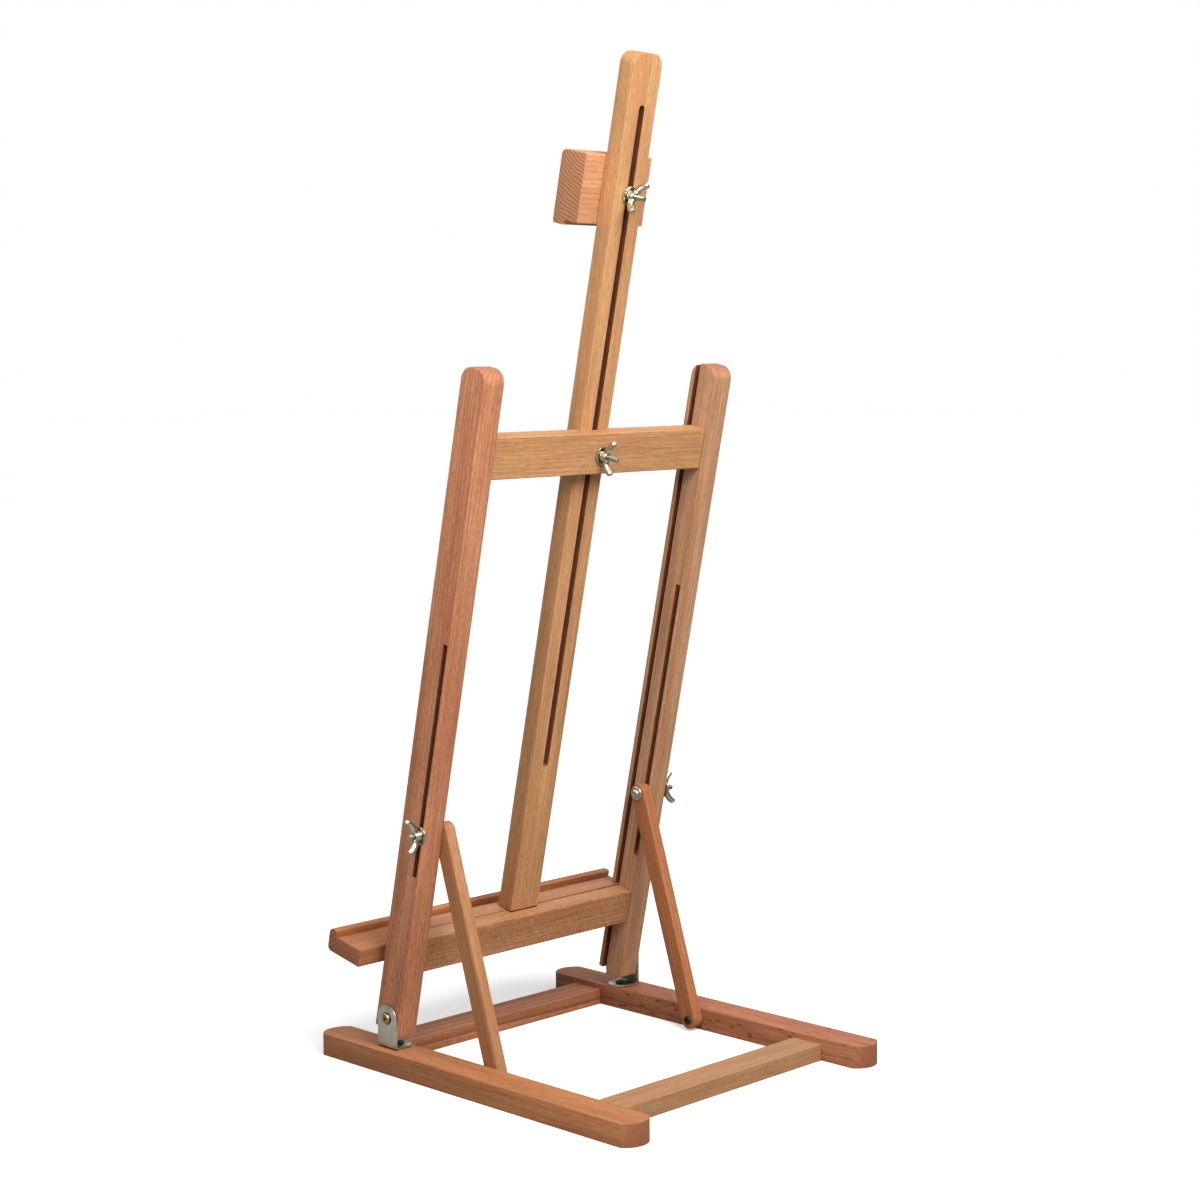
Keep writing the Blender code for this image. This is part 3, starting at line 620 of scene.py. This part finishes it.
def modelTray():
    half = tray["half"]
    shelf = addBox("shelf_tray", (-half, tray["front"], tray["bottom"]),
                   (half, tray["back"], tray["floor"]))
    bisectPiece(shelf, (0, tray["lipBack"], 0), (0, 1, 0), fill=False)
    bisectPiece(shelf, (0, tray["lipBack"] + tray["groove"], 0), (0, 1, 0), fill=False)
    drawOut(shelf, lambda v: near(v.z, tray["floor"]) and v.y < tray["lipBack"] + 0.05 * mm,
            (0, 0, tray["lip"] - tray["floor"]))
    # square line along the foot of the lip
    lineBack = tray["lipBack"] + tray["groove"] + 0.05 * mm
    drawOut(shelf, lambda v: near(v.z, tray["floor"]) and v.y < lineBack,
            (0, 0, -tray["groove"]))
    for height, depth, radius, steps in (("lip", "front", "frontRound", 10),
                                         ("lip", "lipBack", "lipRound", 5),
                                         ("bottom", "front", "frontRound", 10)):
        roundEdges(shelf, lambda v: near(v.z, tray[height]) and near(v.y, tray[depth]),
                   tray[radius], steps)
    easeEdges(shelf, tray["ease"], 3)
    placePiece(shelf, framePlace)
    wood = woodFor("tray", grain="acrossTilted", pith=(30, 45, 0), dark="#9C5F3B",
                   light="#B47850", ringWidth=4.2, endLight="#A0674A", endDark="#6E402B")
    finishPiece(shelf, "mast_and_tray", ["tray"], wood)


def modelCarrier():
    # bar between the uprights; tongues run in their grooves; the rear face gets painted shade,
    # dark like the gap against the lower rail
    half = carrier["half"]
    bar = addBox("bar_tray_carrier", (-half, carrier["front"], carrier["low"]),
                 (half, carrier["back"], carrier["high"]))
    easeEdges(bar, carrier["ease"], 4)
    for side in (1, -1):
        root, far = side * (half - 5 * mm), side * carrier["reach"]
        tongue = addBox("tongue", (root, carrier["tongue"], carrier["low"]),
                        (far, carrier["back"], carrier["high"]))
        easeEdges(tongue, 0.3 * mm, 2)
        cutWith(bar, tongue, "UNION")
    sink = (carrier["sink"], carrier["sinkDepth"])
    for spot in carrier["traySpots"][::-1]:
        for radius, depth in (sink, (carrier["bore"], 25 * mm)):
            cutWith(bar, addRound("bore", radius, carrier["back"] - depth,
                                  carrier["back"] + 5 * mm, 40, "Y",
                                  (spot, 0, carrier["trayUp"])))
    for radius, depth in (sink, (carrier["bore"], 40 * mm)):
        cutWith(bar, addRound("bore", radius, carrier["low"] - 5 * mm,
                              carrier["low"] + depth, 40, "Z", (0, carrier["footBack"], 0)))
    wood = woodFor("tray_carrier", grain="acrossTilted", pith=(50, 40, 2), dark="#A36947",
                   light="#B8815D")
    # painted shade: the rear face, in the gap against the lower rail, takes the dark slot-shade
    # wood
    paintShadeInside(bar, wood, lambda v: v.y > carrier["back"] - 0.4 * mm)
    placePiece(bar, framePlace)
    finishPiece(bar, "mast_and_tray", ["tray_carrier"], None)


def modelClamp():
    half = clamp["half"]
    block = addBox("block_clamp", (-half, clamp["front"], clamp["low"] + clamp["lip"]),
                   (half, clamp["back"], clamp["high"]))
    bisectPiece(block, (0, clamp["lipBack"], 0), (0, 1, 0), fill=False)
    drawOut(block, lambda v: (near(v.z, clamp["low"] + clamp["lip"])
                              and v.y < clamp["lipBack"] + 0.05 * mm), (0, 0, -clamp["lip"]))
    roundEdges(block, lambda v: near(v.z, clamp["high"]) and near(v.y, clamp["front"]),
               clamp["topRound"], 10)
    roundEdges(block, lambda v: near(v.z, clamp["low"]) and near(v.y, clamp["front"]),
               clamp["lipRound"], 8)
    easeEdges(block, clamp["ease"], 4)
    # pocket for the bolt's head, then its bore right through
    for radius, depth, sides in ((clamp["pocket"], clamp["pocketDepth"], 48),
                                 (clamp["bore"], 50 * mm, 32)):
        cutWith(block, addRound("bore", radius, -10 * mm, depth, sides, "Y",
                                (0, clamp["front"], clamp["boltUp"])))
    placePiece(block, framePlace)
    wood = woodFor("clamp_block", grain="acrossTilted", pith=(95, -45, 4), dark="#BF8560",
                   light="#CC9771", ring="#8F5A3C", ringWidth=3.4, endLight="#C08A66",
                   endDark="#6E3F28", endRing=0.9, end=0.95)
    finishPiece(block, "clamp", ["clamp_block"], wood)


modelMast()
modelTray()
modelCarrier()
modelClamp()
print("mast, tray and clamp modelled")


# struts

strut = {"inner": 126.6 * mm, "outer": 138.6 * mm, "width": 18.0 * mm, "length": 230.88 * mm,
         "boltUp": 200 * mm, "foot": (1.0 * mm, 11.0 * mm), "bore": 2.8 * mm,
         "ease": 1.0 * mm}


def strutPlace():
    bolt = framePlace @ Vector((0, 0, strut["boltUp"]))
    foot = Vector((0, strut["foot"][0], strut["foot"][1]))
    line = foot - bolt
    return Matrix.Translation(bolt) @ Matrix.Rotation(math.atan2(line.y, -line.z), 4, "X")


def modelStrut(side, looks):
    label = "right" if side > 0 else "left"
    half = strut["width"] / 2
    inner, outer = side * strut["inner"], side * strut["outer"]
    low, high = -strut["length"] - half, half
    bar = addBox("bar_strut_" + label, (inner, -half, low), (outer, half, high))
    for end in (low, high):
        for edge in (-half, half):
            roundEdges(bar, lambda v: near(v.z, end) and near(v.y, edge), half * 0.995, 16)
    easeEdges(bar, strut["ease"], 4, 50)
    for height in (0, -strut["length"]):
        cutWith(bar, addRound("bore", strut["bore"], -200 * mm, 200 * mm, 32, "X",
                              (0, 0, height)))
    placePiece(bar, strutPlace())
    finishPiece(bar, "strut_" + label + "_arm", ["strut_" + label],
                woodFor("strut_" + label, **looks))


modelStrut(1, {"grain": "strut", "pith": (40, 70, 2), "dark": "#A06B45", "light": "#B6835B",
               "fleck": 0.35})
modelStrut(-1, {"grain": "strut", "pith": (55, -40, 9), "dark": "#A06039",
                "light": "#B27249", "ringStrength": 0.7})
print("struts modelled")


# pieces that keep their CAD mesh

keptTimber = {
    "base_cross_rail_front": {"grain": "across", "pith": (30, 20, 0), "dark": "#9A5F3E",
                              "light": "#B0744F", "fibre": 0.4, "ringWidth": 8,
                              "ringStrength": 1.7, "bend": 16},
    "base_cross_rail_rear": {"grain": "across", "pith": (60, 50, 3), "dark": "#A3754F",
                             "light": "#B48763", "ring": "#93684B"},
    "lower_rail": {"grain": "acrossTilted", "pith": (60, 80, 0), "dark": "#A9734C",
                   "light": "#B9845C", "fleckWidth": 1.2, "fleck": 1.0, "fleckShare": 0.55,
                   "fibre": 0.36, "ring": "#6E4226"},
    "crossbar": {"grain": "acrossTilted", "pith": (80, 60, 8), "dark": "#B88459",
                 "light": "#C69568", "fleck": 0.7, "fleckShare": 0.4, "ring": "#94633F"},
}
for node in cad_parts:
    if "_dowel_" in node:
        keptTimber[node] = {"grain": "across", "dark": "#C49A72", "light": "#D2AA84"}
for node, looks in keptTimber.items():
    giveMaterials(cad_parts[node], woodFor(node, **looks))
print("rails and dowels finished")


# hinge brackets and screws

bracket = {"face": 163.3 * mm, "thick": 2.0 * mm, "half": 13.2 * mm, "y": -116.4 * mm,
           "pivotZ": 50.0 * mm, "seat": 21.3 * mm, "tip": 139.4 * mm, "screwX": 150 * mm,
           "outerBend": 2.6 * mm, "innerBend": 0.8 * mm, "pivotBore": 2.8 * mm,
           "recess": 6.1 * mm, "recessDepth": 0.8 * mm, "screwBore": 2.2 * mm,
           "ease": 0.25 * mm}
# pan-head screws in millimetres: head radius and height, shank radius and length, recess
screwSizes = {"pivot": (5.0, 2.3, 2.45, 12.0, 3.1), "bracket": (4.2, 2.0, 1.8, 13.0, 2.2),
              "strut": (4.2, 2.0, 2.35, 10.0, 2.2)}


def modelBracket():
    # right-hand bracket: flat strip bent to a right angle, both ends rounded
    face, thick, half = bracket["face"], bracket["thick"], bracket["half"]
    seat = bracket["seat"]
    top = bracket["pivotZ"] + half
    strip = addBox("strip_bracket", (face, -half, seat), (face + thick, half, top))
    bisectPiece(strip, (0, 0, seat + thick), (0, 0, 1), fill=False)
    drawOut(strip, lambda v: near(v.x, face) and v.z < seat + thick + 0.05 * mm,
            (bracket["tip"] - face, 0, 0))
    for y in (-half, half):
        roundEdges(strip, lambda v: near(v.z, top) and near(v.y, y), half * 0.995, 24)
        roundEdges(strip, lambda v: near(v.x, bracket["tip"]) and near(v.y, y),
                   half * 0.93, 20)
    roundEdges(strip, lambda v: near(v.x, face + thick) and near(v.z, seat),
               bracket["outerBend"], 8)
    roundEdges(strip, lambda v: near(v.x, face) and near(v.z, seat + thick),
               bracket["innerBend"], 4)
    easeEdges(strip, bracket["ease"], 2, 50)
    pivot = (0, 0, bracket["pivotZ"])
    cutWith(strip, addRound("bore", bracket["pivotBore"], 0.1, 0.2, 40, "X", pivot))
    cutWith(strip, addRound("recess", bracket["recess"], face + thick - bracket["recessDepth"],
                            0.2, 48, "X", pivot))
    cutWith(strip, addRound("bore", bracket["screwBore"], 0, 0.04, 40, "Z",
                            (bracket["screwX"], 0, 0)))
    placePiece(strip, Matrix.Translation((0, bracket["y"], 0)))
    return strip


def modelScrew(headRadius, headHeight, shankRadius, shankLength, recess):
    # pan head with a cross recess, seat at z = 0, pointing down
    head = addRound("head", headRadius, 0, headHeight, 48)
    roundEdges(head, lambda v: near(v.z, headHeight), headHeight * 0.62, 8)
    for size in ((recess, recess * 0.27), (recess * 0.27, recess)):
        slot = addBox("recess", (-size[0], -size[1], headHeight * 0.35),
                      (size[0], size[1], headHeight * 2))
        scalePart(slot, "FACE", lambda v: near(v.z, headHeight * 0.35), (0.55, 0.55, 1))
        cutWith(head, slot)
    shank = addRound("shank", shankRadius, -shankLength, 0.0001, 32)
    selectWhere(shank, "FACE", lambda v: near(v.z, -shankLength))
    bpy.ops.mesh.extrude_region_move(
        TRANSFORM_OT_translate={"value": (0, 0, -shankRadius * 1.5)})
    bpy.ops.transform.resize(value=(0.15, 0.15, 1))
    leaveEdit()
    cutWith(head, shank, "UNION")
    return head


def copyPiece(source, name, matrix):
    piece = source.copy()
    piece.data = source.data.copy()
    piece.name = name
    bpy.context.collection.objects.link(piece)
    placePiece(piece, matrix)
    return piece


def turnTo(direction, spin=0.0):
    # turns Z to the direction, after a spin about Z
    return (Vector(direction).to_track_quat("Z", "Y").to_matrix().to_4x4()
            @ Matrix.Rotation(math.radians(spin), 4, "Z"))


rightBracket = modelBracket()
leftBracket = copyPiece(rightBracket, "strip_bracket_left", Matrix.Scale(-1, 4, (1, 0, 0)))
editAll(leftBracket)
bpy.ops.mesh.normals_make_consistent(inside=False)
leaveEdit()
finishPiece(rightBracket, "base", ["hinge_bracket_right"], stripZinc)
finishPiece(leftBracket, "base", ["hinge_bracket_left"], stripZinc)

screws = {use: modelScrew(*[size * mm for size in sizes]) for use, sizes in screwSizes.items()}
for side, label in ((1, "right"), (-1, "left")):
    seat = bracket["face"] + bracket["thick"] + 0.3 * mm
    screw = copyPiece(screws["pivot"], "screw_pivot_" + label,
                      framePlace @ Matrix.Translation((side * seat, -9.4 * mm, 12.3 * mm))
                      @ turnTo((side, 0, 0), 20))
    finishPiece(screw, "frame", ["frame_pivot_screw_" + label],
                screwZinc)
    screw = copyPiece(screws["bracket"], "screw_bracket_" + label,
                      Matrix.Translation((side * bracket["screwX"], bracket["y"],
                                          bracket["seat"] + bracket["thick"] + 0.3 * mm)))
    finishPiece(screw, "base", ["hinge_bracket_screw_" + label],
                shadowDarkSteel)
    screw = copyPiece(screws["strut"], "screw_strut_" + label,
                      Matrix.Translation((side * (strut["inner"] - 0.3 * mm), *strut["foot"]))
                      @ turnTo((-side, 0, 0), 35))
    finishPiece(screw, "strut_" + label + "_arm", ["strut_pivot_screw_" + label],
                shadowDarkSteel)
for source in screws.values():
    bpy.data.objects.remove(source, do_unlink=True)
print("brackets and screws modelled")


# bolts, washers and wing nuts

thread = {"outer": 2.47 * mm, "root": 2.05 * mm, "pitch": 0.8 * mm}
boltHead = {"flange": 1.8 * mm, "flangeRound": 1.2 * mm, "crown": 4.2 * mm,
            "crownRound": 2.4 * mm, "crownShare": 0.62}
washer = {"radius": 8.8 * mm, "bore": 2.8 * mm, "thick": 1.2 * mm, "ease": 0.22 * mm}
# moves of a blade: millimetres out and up, degrees of lean, change of width
wingNut = {"hubLow": 5.5 * mm, "hubHigh": 4.1 * mm, "hubHeight": 6.2 * mm,
           "bladeThick": 4.6 * mm, "bladeRoot": (1.5 * mm, 4.6 * mm),
           "bladeHeight": (0.8 * mm, 7.6 * mm), "bore": 2.55 * mm,
           "moves": ((3.4, 1.0, 14, 0.98), (3.2, 2.4, 16, 1.02), (2.6, 3.2, 16, 1.02),
                     (1.3, 2.6, 8, 0.8))}
# along each bolt in millimetres, from the frame's middle, with the nut's turn in degrees
boltSizes = {
    "crossbar": {"up": 555, "seat": -29.7, "washer": 3.6, "nut": 5.1, "turn": 90,
                 "length": 54.0, "plain": 30.0, "head": 7.0},
    "clamp": {"up": 795, "seat": -56.2, "washer": -10.6, "nut": -9.1, "turn": 58,
              "length": 65.3, "plain": 44.0, "head": 7.0},
    "strut": {"up": 200, "seat": 126.3, "washer": 163.3, "nut": 164.8, "turn": 21,
              "length": 50.7, "plain": 34.0, "head": 7.0},
}


def modelThread(length):
    # one turn of the profile, wound by a screw modifier, then cut flat at both ends
    clearSelection()
    bpy.ops.mesh.primitive_plane_add(size=1)
    rod = bpy.context.object
    rod.name = "threadRod"
    pitch = thread["pitch"]
    rise = thread["outer"] - thread["root"]
    selectWhere(rod, "VERT", lambda v: True)
    bpy.ops.mesh.merge(type="CENTER")
    bpy.ops.transform.translate(value=(thread["root"], 0, 0))
    for out, along in ((0, 0.12), (rise, 0.32), (0, 0.12), (-rise, 0.32), (0, 0.12)):
        bpy.ops.mesh.extrude_region_move(
            TRANSFORM_OT_translate={"value": (out, 0, along * pitch)})
    leaveEdit()
    applyModifier(rod, "SCREW", axis="Z", screw_offset=pitch,
                  iterations=int(length / pitch) + 3, steps=28, render_steps=28,
                  use_merge_vertices=True, merge_threshold=0.000001)
    placePiece(rod, Matrix.Translation((0, 0, -1.2 * pitch)))
    editAll(rod)
    bpy.ops.mesh.remove_doubles(threshold=0.000002)
    leaveEdit()
    bisectPiece(rod, (0, 0, 0), (0, 0, -1), outer=True)
    bisectPiece(rod, (0, 0, length), (0, 0, 1), outer=True)
    editAll(rod)
    bpy.ops.mesh.normals_make_consistent(inside=False)
    leaveEdit()
    scalePart(rod, "VERT", lambda v: v.z > length - 0.35 * mm, (0.86, 0.86, 1))
    return rod


def modelBolt(length, plain, headRadius):
    # flanged head with a low crown below z = 0, plain shank, then thread up to the length
    flange, top = boltHead["flange"], boltHead["crown"]
    dome = addRound("dome", headRadius, -flange, 0, 64)
    roundEdges(dome, lambda v: near(v.z, -flange), boltHead["flangeRound"], 8)
    crown = addRound("crown", headRadius * boltHead["crownShare"], -top, -0.5 * mm, 48)
    roundEdges(crown, lambda v: near(v.z, -top), boltHead["crownRound"], 8)
    cutWith(dome, crown, "UNION")
    shank = addRound("shank", thread["outer"], -0.3 * mm, plain, 40)
    cutWith(dome, shank, "UNION")
    rod = modelThread(length - plain + 0.4 * mm)
    placePiece(rod, Matrix.Translation((0, 0, plain - 0.4 * mm)))
    makeActive(dome)
    rod.select_set(True)
    bpy.ops.object.join()
    return dome


def modelWasher():
    ring = addRound("ring_washer", washer["radius"], 0, washer["thick"], 72)
    cutWith(ring, addRound("bore", washer["bore"], -5 * mm, 5 * mm, 48))
    easeEdges(ring, washer["ease"], 3)
    return ring


def modelWingNut():
    # hub turned to a cone, one blade drawn out of a block and mirrored across the hub
    hub = addRound("hub_wing_nut", wingNut["hubLow"], 0, wingNut["hubHeight"], 64)
    ratio = wingNut["hubHigh"] / wingNut["hubLow"]
    scalePart(hub, "FACE", lambda v: near(v.z, wingNut["hubHeight"]), (ratio, ratio, 1))
    easeEdges(hub, 0.5 * mm, 4, 30)
    half = wingNut["bladeThick"] / 2
    (rootIn, rootOut), (low, high) = wingNut["bladeRoot"], wingNut["bladeHeight"]
    blade = addBox("blade", (rootIn, -half * 1.2, low), (rootOut, half * 1.2, high))
    # out and up, leaning, with a broad round tip
    selectWhere(blade, "FACE", lambda v: near(v.x, rootOut, 0.1 * mm))
    for out, up, lean, scale in wingNut["moves"]:
        bpy.ops.mesh.extrude_region_move(
            TRANSFORM_OT_translate={"value": (out * mm, 0, up * mm)})
        bpy.ops.transform.rotate(value=math.radians(lean), orient_axis="Y")
        bpy.ops.transform.resize(value=(scale, 1.05, scale))
    leaveEdit()
    applyModifier(blade, "SUBSURF", levels=3, render_levels=3)
    twin = copyPiece(blade, "bladeTwin", Matrix.Rotation(math.pi, 4, "Z"))
    cutWith(hub, blade, "UNION")
    cutWith(hub, twin, "UNION")
    cutWith(hub, addRound("bore", wingNut["bore"], -5 * mm, 20 * mm, 48))
    return hub


nutMaster = modelWingNut()
washerMaster = modelWasher()


def alongBolt(size, side, along, spin=0.0):
    # Z out of the frame's rear, or out of its side for a strut's bolt
    if side:
        spot = Vector((side * along * mm, 0, size["up"] * mm))
        turn = Matrix.Rotation(math.radians(90 * side), 4, "Y")
    else:
        spot = Vector((0, along * mm, size["up"] * mm))
        turn = Matrix.Rotation(math.radians(-90), 4, "X")
    return (framePlace @ Matrix.Translation(spot) @ turn
            @ Matrix.Rotation(math.radians(spin), 4, "Z"))


def fitBolt(stem, label, body, nutBody, side=0):
    # a side's nuts mirror each other
    size = boltSizes[stem]
    bolt = modelBolt(size["length"] * mm, size["plain"] * mm, size["head"] * mm)
    placePiece(bolt, alongBolt(size, side, size["seat"]))
    bolt.name = "threaded_" + stem + label
    finishPiece(bolt, body, [stem + "_bolt" + label], boltZinc, 40)
    ring = copyPiece(washerMaster, "ring_" + stem + label,
                     alongBolt(size, side, size["washer"]))
    finishPiece(ring, body, [stem + "_washer" + label], boltZinc)
    nut = copyPiece(nutMaster, "butterfly_" + stem + label,
                    alongBolt(size, side, size["nut"], size["turn"] * (side or 1)))
    finishPiece(nut, nutBody, [stem + "_wing_nut" + label], nutZinc, 40)


fitBolt("crossbar", "", "frame", "crossbar_nut")
fitBolt("clamp", "", "clamp", "clamp_nut")
fitBolt("strut", "_right", "bolt_right", "bolt_nut_right", 1)
fitBolt("strut", "_left", "bolt_left", "bolt_nut_left", -1)
for source in (nutMaster, washerMaster):
    bpy.data.objects.remove(source, do_unlink=True)
for node in ("mast_foot_screw", "tray_screw_left", "tray_screw_right"):
    giveMaterials(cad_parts[node], boltZinc)
print("bolts, washers and wing nuts modelled")


# studio

studio = {"floor": "#FFFFFF", "bounce": "#9A9A9A", "lift": 0.34, "zenith": 0.41, "horizon": 0.13,
          "mirrorLow": 0.03, "mirrorHigh": 1.4, "backdrop": 1.0, "sun": 1.23,
          "sunFrom": (0.0, 1.0, 1.0), "sunSpread": 35, "lampTint": "#FFFBF2",
          "top": 22.0, "topPlace": (0.35, 1.15, 1.5), "topTarget": (0, 0.05, 0.8),
          "side": 5.7, "sidePlace": (1.0, 0.3, 1.0), "sideTarget": (0.1, 0, 0.7)}
camera = {"place": (1.6046, 1.5926, 0.6749), "azimuth": 134.657, "dip": -5.89,
          "roll": -0.4058, "lens": 72.44}


def makeStudio():
    clearSelection()
    bpy.ops.mesh.primitive_plane_add(size=1, location=(0, 0, -0.0002))
    floor = bpy.context.object
    floor.name = "studioFloor"
    floor.scale = (40, 40, 1)
    bpy.ops.object.transform_apply(location=True, rotation=True, scale=True)
    # white paper that throws back less light than it shows
    paper = bpy.data.materials.new("palePaper")
    paper.use_nodes = True
    tree = paper.node_tree
    seen = addNode(tree, "ShaderNodeLightPath")
    tint = addNode(tree, "ShaderNodeMix",
                   {"data_type": "RGBA", 6: hexColour(studio["bounce"]),
                    7: hexColour(studio["floor"])}, {0: seen.outputs["Is Camera Ray"]})
    lift = addNode(tree, "ShaderNodeMapRange", {"To Max": studio["lift"]},
                   {"Value": seen.outputs["Is Camera Ray"]})
    shader = tree.nodes["Principled BSDF"]
    shader.inputs["Roughness"].default_value = 0.9
    shader.inputs["Emission Color"].default_value = (1, 1, 1, 1)
    tree.links.new(tint.outputs[2], shader.inputs["Base Color"])
    tree.links.new(lift.outputs[0], shader.inputs["Emission Strength"])
    floor.data.materials.append(paper)
    # bright backdrop; the light that falls on the easel is stronger from above
    world = bpy.data.worlds.new("studioWorld")
    bpy.context.scene.world = world
    world.use_nodes = True
    tree = world.node_tree
    tree.nodes.clear()
    path = addNode(tree, "ShaderNodeLightPath")
    place = addNode(tree, "ShaderNodeTexCoord")
    parts = addNode(tree, "ShaderNodeSeparateXYZ", links={"Vector": place.outputs["Generated"]})
    dome = addNode(tree, "ShaderNodeMapRange",
                   {"From Min": 0.0, "From Max": 0.8, "To Min": studio["horizon"],
                    "To Max": studio["zenith"]}, {"Value": parts.outputs["Z"]})
    # metals mirror a darker room with a bright ceiling
    mirror = addNode(tree, "ShaderNodeMapRange",
                     {"From Min": 0.15, "From Max": 0.5, "To Min": studio["mirrorLow"],
                      "To Max": studio["mirrorHigh"]}, {"Value": parts.outputs["Z"]})
    lit = addNode(tree, "ShaderNodeMix", {},
                  {0: path.outputs["Is Glossy Ray"], 2: dome, 3: mirror})
    level = addNode(tree, "ShaderNodeMix", {3: studio["backdrop"]},
                    {0: path.outputs["Is Camera Ray"], 2: lit})
    back = addNode(tree, "ShaderNodeBackground", {"Color": (1, 1, 1, 1)}, {"Strength": level})
    addNode(tree, "ShaderNodeOutputWorld", links={"Surface": back})


def addLamp(name, place, target, size, power):
    data = bpy.data.lights.new(name, "AREA")
    data.shape = "SQUARE"
    data.size = size
    data.energy = power
    data.color = hexColour(studio["lampTint"])[:3]
    lamp = bpy.data.objects.new(name, data)
    bpy.context.collection.objects.link(lamp)
    lamp.location = place
    lamp.rotation_euler = (Vector(target) - Vector(place)).to_track_quat("-Z", "Y").to_euler()


def addCamera():
    azimuth, dip, roll = [math.radians(camera[part]) for part in ("azimuth", "dip", "roll")]
    forward = Vector((-math.sin(azimuth) * math.cos(dip), math.cos(azimuth) * math.cos(dip),
                      math.sin(dip)))
    right = forward.cross(Vector((0, 0, 1))).normalized()
    up = right.cross(forward)
    turnedRight = math.cos(roll) * right + math.sin(roll) * up
    turnedUp = -math.sin(roll) * right + math.cos(roll) * up
    data = bpy.data.cameras.new("studioCamera")
    data.sensor_width = 36
    data.lens = camera["lens"]
    data.clip_end = 100
    viewer = bpy.data.objects.new("studioCamera", data)
    bpy.context.collection.objects.link(viewer)
    turn = Matrix((turnedRight, turnedUp, -forward)).transposed().to_4x4()
    viewer.matrix_world = Matrix.Translation(camera["place"]) @ turn
    bpy.context.scene.camera = viewer


makeStudio()
sunData = bpy.data.lights.new("softSun", "SUN")
sunData.energy = studio["sun"]
sunData.angle = math.radians(studio["sunSpread"])
sun = bpy.data.objects.new("softSun", sunData)
bpy.context.collection.objects.link(sun)
sun.rotation_euler = Vector(studio["sunFrom"]).to_track_quat("Z", "Y").to_euler()
addLamp("topLamp", studio["topPlace"], studio["topTarget"], 0.9, studio["top"])
addLamp("sideLamp", studio["sidePlace"], studio["sideTarget"], 0.6, studio["side"])
addCamera()
bpy.context.scene.view_settings.view_transform = "Standard"
